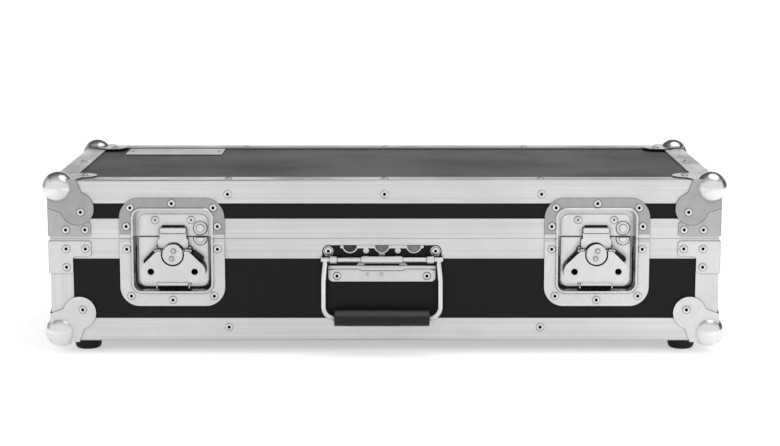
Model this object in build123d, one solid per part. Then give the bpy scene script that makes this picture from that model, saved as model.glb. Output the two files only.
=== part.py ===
"""Flight case for guitar effect pedals: laminated panels in double-angle aluminium edges.

Millimetres, +Z up, +X along the front to the right, +Y from the front to the back.
The origin is on the floor, under the middle of the case's whole outline.
Heights are written above the underside of the shell, which stands on four rubber feet.
"""
import os
from math import acos, atan2, cos, degrees, hypot, radians, sin

from build123d import *

os.makedirs("parts", exist_ok=True)

# ---------------------------------------------------------------- shell
CASE_WIDTH = 690.0
CASE_DEPTH = 300.0
CASE_HEIGHT = 168.0
LID_HEIGHT = 60.4
SPLIT_HEIGHT = CASE_HEIGHT - LID_HEIGHT     # where the lid meets the base
SPLIT_GAP = 0.3
PANEL_THICKNESS = 6.5
SLOT_CLEARANCE = 0.1            # each side of a panel in its extrusion
JOINT_GAP = 0.2                 # between the ends of neighbouring extrusions

# double-angle edge extrusion
LEG_WIDTH = 24.0
LEG_THICKNESS = 1.5
INNER_WALL = 1.2
INNER_REACH = 10.0              # how far the inner walls pass the panels' slots
EDGE_RADIUS = 2.5

# closing extrusions, tongue on the lid and groove on the base
LID_RAIL_HEIGHT = 20.4
BASE_RAIL_HEIGHT = 21.0
RAIL_WEB = 1.4
TONGUE_HEIGHT = 5.0
TONGUE_ROOT = 3.0
TONGUE_TIP = 1.8
TONGUE_INSET = 2.6              # from the outer face to the tongue's outer side
GROOVE_OUTER_CLEARANCE = 0.4
GROOVE_INNER_CLEARANCE = 1.9    # the lid swings its tongue inwards as it rises
GROOVE_DEPTH = 6.0

# ---------------------------------------------------------------- corner hardware
SHEET = 1.2                     # steel of the corners, braces and dishes
BALL_RADIUS = 16.8
BALL_INSET = 9.0                # centre of the ball inside each face
PETAL_SIDE = 29.0               # petal's root along the case edge
PETAL_WAIST = (35.0, 16.0)
PETAL_TIP_CENTRE = 29.5
PETAL_TIP_RADIUS = 17.0
PETAL_WAIST_FILLET = 3.0
PETAL_WAIST_SPAN = 6.0          # round the waist, where its corners are
CORNER_RIVET_INSET = 33.0
PRESSED_CLEARANCE = 0.3
BEND_EASE = 0.6

BRACE_REACH = 42.8
BRACE_ARM = 24.0
BRACE_RADIUS = 3.0
BRACE_THICKNESS = 1.3
BASE_BRACE_DROP = (2.8, 18.6, 36.3)     # its top, its arm's lower edge and its foot, below the split
BASE_BRACE_LOW_RIVET = 6.5      # above its lower edge
LID_BRACE_RISE = (2.5, 16.9, 34.4)      # its bottom, its arm's upper edge and its head, above the split
BRACE_RIVET_NEAR = 17.4         # from the case side
BRACE_RIVET_FAR = 37.2

RIVET_RADIUS = 4.0
RIVET_TOP_RADIUS = 2.4
RIVET_HEIGHT = 1.3
RIVET_END_INSET = 184.0         # of the outer front rivets from the case sides
RIVET_INSET = 14.5              # of the edge rivets from the case edges

# ---------------------------------------------------------------- latches
LATCH_INSET = 126.4             # middle of each latch from the case side
DISH_WIDTH = 108.0
DISH_DROP = 70.7                # lower edge below the split
DISH_RISE = 41.7                # upper edge above it
DISH_RADIUS = 20.0
DISH_FOLD = 4.0                 # half width of the folded band at the split
DISH_FOLD_DEPTH = 0.8
TUB_WIDTH = 80.0
TUB_DROP = 55.1
TUB_RISE = 29.4
TUB_RADIUS = 8.0
TUB_DEPTH = 14.0
TUB_TAPER = 5.0
RIM_WIDTH = 2.5
RIM_HEIGHT = 1.2
TUB_CLEARANCE = 0.6             # of the cut-outs round the tub
DISH_RIVETS = [(0.0, 36.4), (42.6, 32.0), (46.8, 12.6), (46.6, -11.0), (42.8, -60.1), (0.0, -64.3)]

ROTOR_DROP = 17.4               # turning axis below the split
ROTOR_DISC_RADIUS = 10.9
ROTOR_DISC_FRONT = 0.6
ROTOR_DISC_THICKNESS = 1.6
DISC_STUD_RADIUS = 2.2
DISC_STUD_HEIGHT = 0.4
DISC_STUD_THROW = 4.1
DISC_STUD_TURN = 14.0           # degrees, of the two studs from upright
ECCENTRIC_RADIUS = 8.0
ECCENTRIC_THROW = 3.5
AXLE_RADIUS = 3.0
RUNNING_CLEARANCE = 0.05
YOKE_FRONT = 4.6
YOKE_THICKNESS = 1.4
YOKE_HEIGHT = 7.0
YOKE_CORNER = 2.0

WING_PIVOT_RISE = 3.3           # folding axis above the turning axis
WING_PIVOT_Y = 3.9
WING_FRONT = 0.3
WING_THICKNESS = 1.4
WING_PIN_RADIUS = 1.3
WING_KNUCKLE_RADIUS = 2.3
WING_EAR_RADIUS = 1.9
WING_KNUCKLE = (12.7, 16.8)     # from the latch centre, along the pin
WING_EAR = (17.1, 19.3)
WING_SHOULDER = 16.8
WING_CORNER = 0.6
WING_LOBE_RADIUS = 11.0
WING_DISC_GAP = 1.1
PADLOCK_HOLE_RADIUS = 3.45
PADLOCK_HOLE = (22.6, 17.8)     # from the latch centre, and below the turning axis
FINGER_LIP_HALF = 16.0
FINGER_LIP_RADIUS = 2.6
FINGER_LIP_DROP = 33.2          # its lower edge below the turning axis

HOOK_FRONT = 8.0
HOOK_THICKNESS = 1.8
HOOK_HALF_WIDTH = 15.5
HOOK_CORNER = 2.0
HOOK_NECK_HALF = 13.8
HOOK_NECK_DROP = 1.8            # of the neck's root below the split
HOOK_RISE = 9.8                 # top of the hook above the split
HOOK_ROLL = 6.4                 # height of the rolled band under the lip
HOOK_ROLL_DEPTH = 0.8
HOOK_NECK_CORNER = 2.0
HOOK_TAIL = 16.7                # below the turning axis
HOOK_LIP = 3.8                  # depth of the lip, from the plate's front
HOOK_SIDE_CLEARANCE = 0.4
YOKE_WINDOW_PLAY = 1.1          # round the eccentric, up and down
YOKE_WINDOW_CORNER = 3.0
GUIDE_WIDTH = 2.6
GUIDE_FRONT = 6.6
GUIDE_HEIGHT = 14.0
GUIDE_CORNER = 1.0

MECHANISM_PLATE = 1.4
PLATE_WIDTH = 72.0
PLATE_RADIUS = 8.0
PLATE_CORNER = 0.6              # along the split
PLATE_SPLIT_GAP = 0.9           # from the split to the plate on each side of it
LATCH_BASE_DROP = 52.6          # lower edge below the split
BOSS_RADIUS = 6.0
BOSS_FRONT = 10.9
KEEPER_RISE = 23.1              # upper edge above the split
KEEPER_SHELF_HALF = 11.5
KEEPER_GAP = 0.4                # under the hook's lip
KEEPER_SHELF = 1.8
KEEPER_BITE = 1.2               # how far the hook's lip stands over the shelf
KEEPER_RIVET = (18.6, 17.2)     # from the latch centre, and above the split
STRIKE_X = 28.0                 # pressed boss in the keeper, half-round one in the base plate
STRIKE_RADIUS = 7.2
STRIKE_HEIGHT = 1.3
STRIKE_STUD_RADIUS = 3.8
STRIKE_STUD_HEIGHT = 1.5
STRIKE_RISE = 8.7               # of the keeper's boss above the split
STRIKE_DROP = 2.0               # of the half-round boss below it

# ---------------------------------------------------------------- handle
HANDLE_X = -2.7
HANDLE_NOTCH_WIDTH = 123.0      # cut in the base's closing rail
HANDLE_NOTCH_DROP = 7.0         # its top below the split
HANDLE_NOTCH_RADIUS = 6.4
HANDLE_SHEET = LEG_THICKNESS
HANDLE_CORNER = 1.0
HANDLE_TAB = (55.2, 13.3)       # riveted ear, from the handle's middle and below the split
HANDLE_TAB_RADIUS = 5.2
HANDLE_TAB_NECK = 7.0
HANDLE_STRIP_WIDTH = 85.6
HANDLE_STRIP_HEIGHT = 3.2
HANDLE_STRIP_GAP = 0.3          # under the notch's top
CUP_PITCH = 32.9
CUP_RADIUS = 7.0
CUP_WALL = 1.3
CUP_LINK = 6.0
CUP_STUD = (16.4, 12.9)
CUP_STUD_RADIUS = 3.0
HANDLE_AXIS_DROP = 21.75        # the bail's axis below the split
HANDLE_AXIS_OUT = 3.6           # and in front of the shell
HANDLE_TUBE_RADIUS = 4.0
HANDLE_COVER_HALF = 21.0        # rolled tube over the middle of the wire
HANDLE_KNUCKLE = (46.5, 53.5)   # rolled tubes near its ends
HANDLE_SPINE = (-2.2, 1.9)      # sheet behind the wire, from its axis
HANDLE_SPINE_HALF = 57.0
HANDLE_BRACKET = (18.0, 21.0, 26.5)     # inner edge, outer edge above, outer edge below
HANDLE_LOWER_WIDTH = 110.6
HANDLE_LOWER_DROP = (28.5, 45.2)        # upper and lower edge below the split
HANDLE_LOWER_RADIUS = 5.0
HANDLE_BAND = 3.2               # raised band along the upper edge, deeper in the middle
HANDLE_BAND_MIDDLE = 5.0
HANDLE_BAND_HALF = 20.0
HANDLE_BAND_RISE = 0.7
HANDLE_LOWER_RIVET = (46.4, 39.3)
BAIL_WIRE = 5.5
BAIL_WIDTH = 120.5              # between the wire's centre lines
BAIL_DROP = 60.5
BAIL_TOP_RADIUS = 5.0
BAIL_BOTTOM_RADIUS = 12.0
GRIP_RADIUS = 8.5
GRIP_LENGTH = 98.4
GRIP_REST_GAP = 0.5             # between the grip and the shell
GRIP_ROUNDING = 2.0

# ---------------------------------------------------------------- hinges
HINGE_INSET = 145.0             # middle of each hinge from the case side
HINGE_LEAF_WIDTH = 72.0
HINGE_LEAF_HEIGHT = 30.0
HINGE_LEAF = 1.6
HINGE_RIVET_INSET = 9.0
HINGE_BARREL_RADIUS = 4.6
HINGE_PIN_RADIUS = 2.0
HINGE_AXIS_OUT = 5.4            # behind the back face
HINGE_KNUCKLE = 24.0            # length of the lid's middle knuckle
HINGE_KNUCKLE_GAP = 0.4
HINGE_PIN_HEAD = 3.2
HINGE_PIN_HEAD_DEPTH = 1.6
HINGE_STRAP_LAP = 1.0           # of a knuckle's strap over its leaf

# ---------------------------------------------------------------- feet, lining and plate
FOOT_HEIGHT = 14.0
FOOT_RADIUS = 15.0
FOOT_TIP_RADIUS = 13.0
FOOT_RECESS_RADIUS = 6.0
FOOT_RECESS_DEPTH = 7.0
FOOT_ROUNDING = 4.0
SCREW_HEAD_RADIUS = 4.5
SCREW_HEAD_HEIGHT = 2.6
SCREW_SHANK_RADIUS = 2.2

FOAM_CLEARANCE = 0.35
FLOOR_FOAM = 10.0
WALL_FOAM = 12.0
LID_FOAM = 16.0
FOAM_TOP_GAP = 4.0              # below the base rail's top

NAMEPLATE_SIZE = (109.0, 54.0)
NAMEPLATE_THICKNESS = 0.8
NAMEPLATE_CORNER = 1.5
NAMEPLATE_RIVET_INSET = 5.0
NAMEPLATE_RIVET = (2.0, 1.3, 0.7)       # radius, radius at the top, height
NAMEPLATE_INSET = 105.5         # its middle from the left side
NAMEPLATE_BACK_INSET = 55.0     # its middle from the back

# ---------------------------------------------------------------- worked-out places
HALF = CASE_WIDTH / 2
LATCH_X = HALF - LATCH_INSET
HINGE_X = HALF - HINGE_INSET
NAMEPLATE_X = NAMEPLATE_INSET - HALF
NAMEPLATE_Y = CASE_DEPTH - NAMEPLATE_BACK_INSET
RIVET_PITCH = HALF - RIVET_END_INSET
BASE_BRACE_TOP, BASE_BRACE_ARM_BOTTOM, BASE_BRACE_BOTTOM = (SPLIT_HEIGHT - drop for drop in BASE_BRACE_DROP)
LID_BRACE_BOTTOM, LID_BRACE_ARM_TOP, LID_BRACE_TOP = (SPLIT_HEIGHT + rise for rise in LID_BRACE_RISE)
DISH_BOTTOM, DISH_TOP = SPLIT_HEIGHT - DISH_DROP, SPLIT_HEIGHT + DISH_RISE
TUB_BOTTOM, TUB_TOP = SPLIT_HEIGHT - TUB_DROP, SPLIT_HEIGHT + TUB_RISE
ROTOR_HEIGHT = SPLIT_HEIGHT - ROTOR_DROP
WING_PIVOT_HEIGHT = ROTOR_HEIGHT + WING_PIVOT_RISE
HOOK_TOP = SPLIT_HEIGHT + HOOK_RISE
GRIP_DROP_ANGLE = degrees(atan2(GRIP_RADIUS + GRIP_REST_GAP - HANDLE_AXIS_OUT, BAIL_DROP))
FRONT_REACH = 2 * GRIP_RADIUS + GRIP_REST_GAP
BACK_REACH = HINGE_AXIS_OUT + HINGE_BARREL_RADIUS
SETBACK = (FRONT_REACH - BACK_REACH) / 2
FRONT = SETBACK - CASE_DEPTH / 2
BACK = SETBACK + CASE_DEPTH / 2
UNDERSIDE = FOOT_HEIGHT
TOP = UNDERSIDE + CASE_HEIGHT
SPLIT = UNDERSIDE + SPLIT_HEIGHT
LID_BOTTOM = SPLIT + SPLIT_GAP / 2
BASE_TOP = SPLIT - SPLIT_GAP / 2
SLOT = PANEL_THICKNESS + 2 * SLOT_CLEARANCE
EDGE_DEPTH = LEG_THICKNESS + SLOT + INNER_WALL
PANEL_FACE = LEG_THICKNESS + SLOT_CLEARANCE
PANEL_EDGE = EDGE_DEPTH + JOINT_GAP
LINING_FACE = EDGE_DEPTH + FOAM_CLEARANCE
MIDDLE = Plane.XZ.offset(-SETBACK)


def save(name, shape):
    """Write one node's solids."""
    export_step(shape, f"parts/{name}.step")


def group(shapes):
    """Separate solids that share one node."""
    return Compound(children=[solid for shape in shapes for solid in shape.solids()])


def block(x, y, z):
    """A box between its limits along each axis."""
    size = (x[1] - x[0], y[1] - y[0], z[1] - z[0])
    return Pos((x[0] + x[1]) / 2, (y[0] + y[1]) / 2, (z[0] + z[1]) / 2) * Box(*size)


def rod(radius, start, end):
    """A round bar from start to end."""
    start, end = Vector(*start), Vector(*end)
    way = end - start
    return Plane(origin=start, z_dir=way) * Cylinder(
        radius, way.length, align=(Align.CENTER, Align.CENTER, Align.MIN))


def mirror_x(shape):
    return mirror(shape, about=Plane.YZ)


def mirror_y(shape):
    return mirror(shape, about=MIDDLE)


def both_sides(shape):
    return [shape, mirror_x(shape)]


def four_corners(shape):
    """The same solid at the front right, front left and both back corners."""
    front = both_sides(shape)
    return front + [mirror_y(solid) for solid in front]


def rect(u, v):
    """A face between its limits in a profile's own axes."""
    return Pos((u[0] + u[1]) / 2, (v[0] + v[1]) / 2) * Rectangle(u[1] - u[0], v[1] - v[0])


def along(profile, middle, u_way, v_way, length):
    """Extrude a profile drawn in u and v, both ways from the middle of its run."""
    normal = Vector(*u_way).cross(Vector(*v_way))
    return extrude(Plane(origin=middle, x_dir=u_way, z_dir=normal) * profile, amount=length / 2, both=True)


# ---------------------------------------------------------------- extrusions and panels
def double_angle():
    """Section of the edge extrusion: outer angle, and inner walls that hold two panels."""
    wall = (EDGE_DEPTH - INNER_WALL, EDGE_DEPTH)
    reach = EDGE_DEPTH + INNER_REACH
    outer = rect((0, LEG_WIDTH), (0, LEG_THICKNESS)) + rect((0, LEG_THICKNESS), (0, LEG_WIDTH))
    corner = outer.vertices().sort_by_distance((0, 0))[0]
    return fillet(corner, EDGE_RADIUS) + rect(wall, (LEG_THICKNESS, reach)) + rect((LEG_THICKNESS, reach), wall)


def lid_rail_section():
    """Closing extrusion of the lid, in depth and height: panel slot above, tongue below."""
    top = SPLIT + LID_RAIL_HEIGHT
    web = LID_BOTTOM + RAIL_WEB
    tongue = make_face(Polyline(
        (TONGUE_INSET, web), (TONGUE_INSET, LID_BOTTOM - TONGUE_HEIGHT),
        (TONGUE_INSET + TONGUE_TIP, LID_BOTTOM - TONGUE_HEIGHT), (TONGUE_INSET + TONGUE_ROOT, LID_BOTTOM),
        (TONGUE_INSET + TONGUE_ROOT, web), close=True))
    return (rect((0, LEG_THICKNESS), (LID_BOTTOM, top))
            + rect((EDGE_DEPTH - INNER_WALL, EDGE_DEPTH), (LID_BOTTOM, top))
            + rect((0, EDGE_DEPTH), (LID_BOTTOM, web)) + tongue)


def base_rail_section():
    """Closing extrusion of the base: groove above, panel slot below."""
    bottom = SPLIT - BASE_RAIL_HEIGHT
    floor = BASE_TOP - GROOVE_DEPTH
    groove = (TONGUE_INSET - GROOVE_OUTER_CLEARANCE, TONGUE_INSET + TONGUE_ROOT + GROOVE_INNER_CLEARANCE)
    return (rect((0, LEG_THICKNESS), (bottom, BASE_TOP))
            + rect((EDGE_DEPTH - INNER_WALL, EDGE_DEPTH), (bottom, BASE_TOP))
            + rect((0, EDGE_DEPTH), (floor - RAIL_WEB, BASE_TOP))
            - rect(groove, (floor, BASE_TOP + 1)))


def edge_along_x(height, up):
    """Front edge extrusion at one height, with its upright leg pointing up or down."""
    return along(double_angle(), (0, FRONT, height), (0, 1, 0), (0, 0, up), CASE_WIDTH)


def edge_along_y(height, up):
    """Left edge extrusion, fitted between the front and back ones."""
    length = CASE_DEPTH - 2 * (LEG_WIDTH + JOINT_GAP)
    return along(double_angle(), (-HALF, SETBACK, height), (1, 0, 0), (0, 0, up), length)


def corner_post(low, high):
    """Upright extrusion at the front left corner."""
    low, high = low + JOINT_GAP, high - JOINT_GAP
    return along(double_angle(), (-HALF, FRONT, (low + high) / 2), (1, 0, 0), (0, 1, 0), high - low)


def rounded_shell(heights, radius):
    """The shell's outer block between two heights, with its upright edges rounded."""
    shell = block((-HALF, HALF), (FRONT, BACK), heights)
    return fillet(shell.edges().filter_by(Axis.Z), radius)


def rail_along_x(section):
    """Front closing rail, rounded at its ends like the posts."""
    rail = along(section, (0, FRONT, 0), (0, 1, 0), (0, 0, 1), CASE_WIDTH)
    return rail & rounded_shell((UNDERSIDE, TOP), EDGE_RADIUS)


def rail_along_y(section):
    length = CASE_DEPTH - 2 * (EDGE_DEPTH + JOINT_GAP)
    return along(section, (-HALF, SETBACK, 0), (1, 0, 0), (0, 0, 1), length)


def level_panel(outer, inward):
    """Top or bottom panel, whose outer side lies inside the edge legs at the outer height."""
    near = outer + inward * PANEL_FACE
    far = near + inward * PANEL_THICKNESS
    side = HALF - PANEL_EDGE
    return block((-side, side), (FRONT + PANEL_EDGE, BACK - PANEL_EDGE), sorted((near, far)))


def front_panel(low, high):
    side = HALF - PANEL_EDGE
    return block((-side, side), (FRONT + PANEL_FACE, FRONT + PANEL_FACE + PANEL_THICKNESS), (low, high))


def left_panel(low, high):
    face = -HALF + PANEL_FACE
    return block((face, face + PANEL_THICKNESS), (FRONT + PANEL_EDGE, BACK - PANEL_EDGE), (low, high))


BASE_PANEL = (UNDERSIDE + PANEL_EDGE, BASE_TOP - GROOVE_DEPTH - RAIL_WEB - JOINT_GAP)
LID_PANEL = (LID_BOTTOM + RAIL_WEB + JOINT_GAP, TOP - PANEL_EDGE)


# ---------------------------------------------------------------- corner hardware
def petal_outline():
    """One petal on a face, folded over the two case edges along the axes from the corner."""
    waist_u, waist_v = PETAL_WAIST
    root = make_face(Polyline(
        (-SHEET, -SHEET), (PETAL_SIDE, -SHEET), (PETAL_SIDE, 0), (waist_u, waist_v), (waist_u, waist_u),
        (waist_v, waist_u), (0, PETAL_SIDE), (-SHEET, PETAL_SIDE), close=True))
    tip = Pos(PETAL_TIP_CENTRE, PETAL_TIP_CENTRE) * Circle(PETAL_TIP_RADIUS)
    outline = root + tip
    middle = (waist_u + waist_v) / 2
    waists = [v for v in outline.vertices()
              if abs(max(v.X, v.Y) - waist_u) < PETAL_WAIST_SPAN and min(v.X, v.Y) < middle]
    return fillet(waists, PETAL_WAIST_FILLET)


def corner_faces():
    """For the front left top corner: the two in-face directions and the inward one of each face."""
    right, back, down = Vector(1, 0, 0), Vector(0, 1, 0), Vector(0, 0, -1)
    return [(right, down, back), (back, down, right), (right, back, down)]


def on_corner_face(outline, face):
    """Lay a corner outline on one face of the front left top corner."""
    u_way, v_way, inward = face
    return Plane(origin=(-HALF, FRONT, TOP), x_dir=u_way, z_dir=u_way.cross(v_way)) * outline


def ball_corner():
    """Pressed ball corner on the front left top corner: a hollow ball with three petals."""
    corner = Vector(-HALF, FRONT, TOP)
    case = block((-HALF, HALF), (FRONT, BACK), (UNDERSIDE, TOP))
    centre = corner + Vector(BALL_INSET, BALL_INSET, -BALL_INSET)
    ball = Pos(*centre) * (Sphere(BALL_RADIUS) - Sphere(BALL_RADIUS - SHEET))
    petals = [extrude(on_corner_face(petal_outline(), face), amount=SHEET, dir=face[2] * -1)
              for face in corner_faces()]
    hollow = Pos(*centre) * Sphere(BALL_RADIUS - SHEET / 2)
    return petals[0] + petals[1] + petals[2] - hollow + ball - case


def petal_spaces():
    """Room round the front and side petals, for what is cut to pass them."""
    outline = offset(petal_outline(), amount=PRESSED_CLEARANCE)
    return [extrude(on_corner_face(outline, face), amount=2 * SHEET, both=True) for face in corner_faces()[:2]]


def brace_outline(top, arm_edges, bottom):
    """L-shaped flange beside a case corner, from the case side inwards."""
    low, high = arm_edges
    shape = rect((0, BRACE_REACH), (low, high)) + rect((0, BRACE_ARM), (bottom, top))
    ends = [v for v in shape.vertices() if v.X > 1]
    return fillet(ends, BRACE_RADIUS)


def brace(outline):
    """Corner brace bent round the front left upright corner."""
    skin = BRACE_THICKNESS
    corner = (-HALF, FRONT, 0)
    front = extrude(Plane(origin=corner, x_dir=(1, 0, 0), z_dir=(0, -1, 0)) * outline, amount=skin)
    side = extrude(Plane(origin=corner, x_dir=(0, 1, 0), z_dir=(1, 0, 0)) * outline, amount=-skin)
    box = (front + side).bounding_box()
    heights = (box.min.Z, box.max.Z)
    bend = block((-HALF - skin, -HALF + EDGE_RADIUS), (FRONT - skin, FRONT + EDGE_RADIUS), heights)
    outside = bend.edges().filter_by(Axis.Z).sort_by_distance((-HALF - skin, FRONT - skin, heights[0]))[0]
    return front + side + fillet(outside, EDGE_RADIUS) - rounded_shell(heights, EDGE_RADIUS - BEND_EASE)


def base_brace():
    arm = (UNDERSIDE + BASE_BRACE_ARM_BOTTOM, UNDERSIDE + BASE_BRACE_TOP)
    return brace(brace_outline(arm[1], arm, UNDERSIDE + BASE_BRACE_BOTTOM))


def lid_brace():
    """The lid's brace stops short of the ball corner's petals."""
    arm = (UNDERSIDE + LID_BRACE_BOTTOM, UNDERSIDE + LID_BRACE_ARM_TOP)
    front, side = petal_spaces()
    return brace(brace_outline(UNDERSIDE + LID_BRACE_TOP, arm, arm[0])) - front - side


def rivet(spot, outward):
    """Head of a blind rivet on a face."""
    return Plane(origin=spot, z_dir=outward) * Cone(
        RIVET_RADIUS, RIVET_TOP_RADIUS, RIVET_HEIGHT, align=(Align.CENTER, Align.CENTER, Align.MIN))


# ---------------------------------------------------------------- latches, drawn about x = 0
def depth(y):
    """Depth behind the front face, in the part's frame."""
    return FRONT + y


def front_sketch(sketch, y):
    """Lay a sketch drawn in x and height on the upright plane at a depth."""
    return Plane(origin=(0, depth(y), 0), x_dir=(1, 0, 0), z_dir=(0, -1, 0)) * sketch


def slab(sketch, near, far):
    """A plate between two depths with a sketched outline."""
    return extrude(front_sketch(sketch, far), amount=far - near)


def rounded(width, low, high, radius, x=0.0):
    """Rounded rectangle by its width and heights above the underside."""
    middle = UNDERSIDE + (low + high) / 2
    return Pos(x, middle) * RectangleRounded(width, high - low, radius)


def at(x, height):
    return Pos(x, UNDERSIDE + height)


def tub(grow):
    """The tapered space of the dish, from the front face inwards, grown on every side."""
    outline = rounded(TUB_WIDTH + 2 * grow, TUB_BOTTOM - grow, TUB_TOP + grow, TUB_RADIUS + grow)
    return extrude(front_sketch(outline, 0), amount=-(TUB_DEPTH + grow), taper=TUB_TAPER)


def latch_dish():
    """Pressed dish: a flat flange with a raised rim, and the tub that holds the latch."""
    flange = slab(rounded(DISH_WIDTH, DISH_BOTTOM, DISH_TOP, DISH_RADIUS), -SHEET, 0)
    rim = rounded(TUB_WIDTH + 2 * RIM_WIDTH, TUB_BOTTOM - RIM_WIDTH, TUB_TOP + RIM_WIDTH, TUB_RADIUS + RIM_WIDTH)
    raised = slab(rim, -SHEET - RIM_HEIGHT, 0)
    raised = chamfer(raised.faces().sort_by(Axis.Y)[0].edges(), RIM_HEIGHT * 0.7)
    mouth = slab(rounded(TUB_WIDTH, TUB_BOTTOM, TUB_TOP, TUB_RADIUS), -SHEET - RIM_HEIGHT, 0)
    fold = Polyline((depth(-SHEET), SPLIT - DISH_FOLD), (depth(DISH_FOLD_DEPTH - SHEET), SPLIT),
                    (depth(-SHEET), SPLIT + DISH_FOLD), close=True)
    side = TUB_WIDTH / 2 + RIM_WIDTH
    groove = extrude(Plane.YZ.offset(side) * make_face(fold), amount=DISH_WIDTH)
    return flange + tub(SHEET) + raised - mouth - tub(0) - groove - mirror_x(groove)


def dish_half(above):
    """One half of the dish, split where the lid meets the base."""
    heights = (LID_BOTTOM, TOP) if above else (UNDERSIDE, BASE_TOP)
    room = block((-DISH_WIDTH, DISH_WIDTH), (FRONT - 2 * TUB_DEPTH, FRONT + 2 * TUB_DEPTH), heights)
    return latch_dish() & room


def mechanism_plate(far, near):
    """Plate on the dish floor between two heights, square along the split and rounded at its far corners."""
    outline = (rounded(PLATE_WIDTH, *sorted((far, near)), PLATE_RADIUS)
               + rounded(PLATE_WIDTH, *sorted(((far + near) / 2, near)), PLATE_CORNER))
    return slab(outline, TUB_DEPTH - MECHANISM_PLATE, TUB_DEPTH)


def strike(height):
    """Pressed boss with a stud, on a mechanism plate beside the hook."""
    front = TUB_DEPTH - MECHANISM_PLATE - STRIKE_HEIGHT
    centre = at(STRIKE_X, height)
    boss = slab(centre * Circle(STRIKE_RADIUS), front, TUB_DEPTH)
    boss = chamfer(boss.faces().sort_by(Axis.Y)[0].edges(), STRIKE_HEIGHT / 2)
    return boss + slab(centre * Circle(STRIKE_STUD_RADIUS), front - STRIKE_STUD_HEIGHT, TUB_DEPTH)


def latch_base():
    """Mechanism plate in the base, with the rotor's boss, the hook's two guides and half a strike boss."""
    near = SPLIT_HEIGHT - PLATE_SPLIT_GAP
    plate = mechanism_plate(SPLIT_HEIGHT - LATCH_BASE_DROP, near)
    boss = slab(at(0, ROTOR_HEIGHT) * Circle(BOSS_RADIUS), BOSS_FRONT, TUB_DEPTH)
    beside = HOOK_HALF_WIDTH + HOOK_SIDE_CLEARANCE + GUIDE_WIDTH / 2
    guide = slab(at(beside, ROTOR_HEIGHT) * RectangleRounded(GUIDE_WIDTH, GUIDE_HEIGHT, GUIDE_CORNER),
                 GUIDE_FRONT, TUB_DEPTH)
    half_strike = strike(SPLIT_HEIGHT - STRIKE_DROP) - block(
        (0, DISH_WIDTH), (FRONT, FRONT + TUB_DEPTH), (UNDERSIDE + near, TOP))
    bore = slab(at(0, ROTOR_HEIGHT) * Circle(AXLE_RADIUS + RUNNING_CLEARANCE), BOSS_FRONT, TUB_DEPTH)
    return plate + boss + guide + mirror_x(guide) + half_strike - bore


def keeper():
    """Plate on the lid half of the dish, with the shelf that the hook's lip pulls down."""
    plate = mechanism_plate(SPLIT_HEIGHT + KEEPER_RISE, SPLIT_HEIGHT + PLATE_SPLIT_GAP)
    shelf_top = UNDERSIDE + HOOK_TOP - HOOK_THICKNESS - KEEPER_GAP
    tip = HOOK_FRONT + HOOK_LIP - KEEPER_BITE
    shelf = block((-KEEPER_SHELF_HALF, KEEPER_SHELF_HALF), (depth(tip), depth(TUB_DEPTH)),
                  (shelf_top - KEEPER_SHELF, shelf_top))
    return plate + shelf + strike(SPLIT_HEIGHT + STRIKE_RISE)


def hook():
    """Sliding plate with a window for the eccentric, a rolled head and a lip bent over the keeper's shelf."""
    root = SPLIT_HEIGHT - HOOK_NECK_DROP
    body = rounded(2 * HOOK_HALF_WIDTH, ROTOR_HEIGHT - HOOK_TAIL, root, HOOK_CORNER)
    neck = rounded(2 * HOOK_NECK_HALF, ROTOR_HEIGHT, HOOK_TOP, HOOK_NECK_CORNER)
    window_half = ECCENTRIC_RADIUS + YOKE_WINDOW_PLAY
    centre = ROTOR_HEIGHT - ECCENTRIC_THROW
    window = rounded(2 * (ECCENTRIC_RADIUS + ECCENTRIC_THROW + HOOK_SIDE_CLEARANCE),
                     centre - window_half, centre + window_half, YOKE_WINDOW_CORNER)
    plate = slab(body + neck - window, HOOK_FRONT, HOOK_FRONT + HOOK_THICKNESS)
    roll_front = HOOK_FRONT - HOOK_ROLL_DEPTH
    roll = slab(rounded(2 * HOOK_NECK_HALF, HOOK_TOP - HOOK_ROLL, HOOK_TOP, HOOK_NECK_CORNER),
                roll_front, HOOK_FRONT)
    roll = chamfer(roll.faces().sort_by(Axis.Y)[0].edges(), HOOK_ROLL_DEPTH * 0.9)
    lip_half = HOOK_NECK_HALF - HOOK_NECK_CORNER
    lip = block((-lip_half, lip_half), (depth(HOOK_FRONT), depth(HOOK_FRONT + HOOK_LIP)),
                (UNDERSIDE + HOOK_TOP - HOOK_THICKNESS, UNDERSIDE + HOOK_TOP))
    return plate + roll + lip


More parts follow.
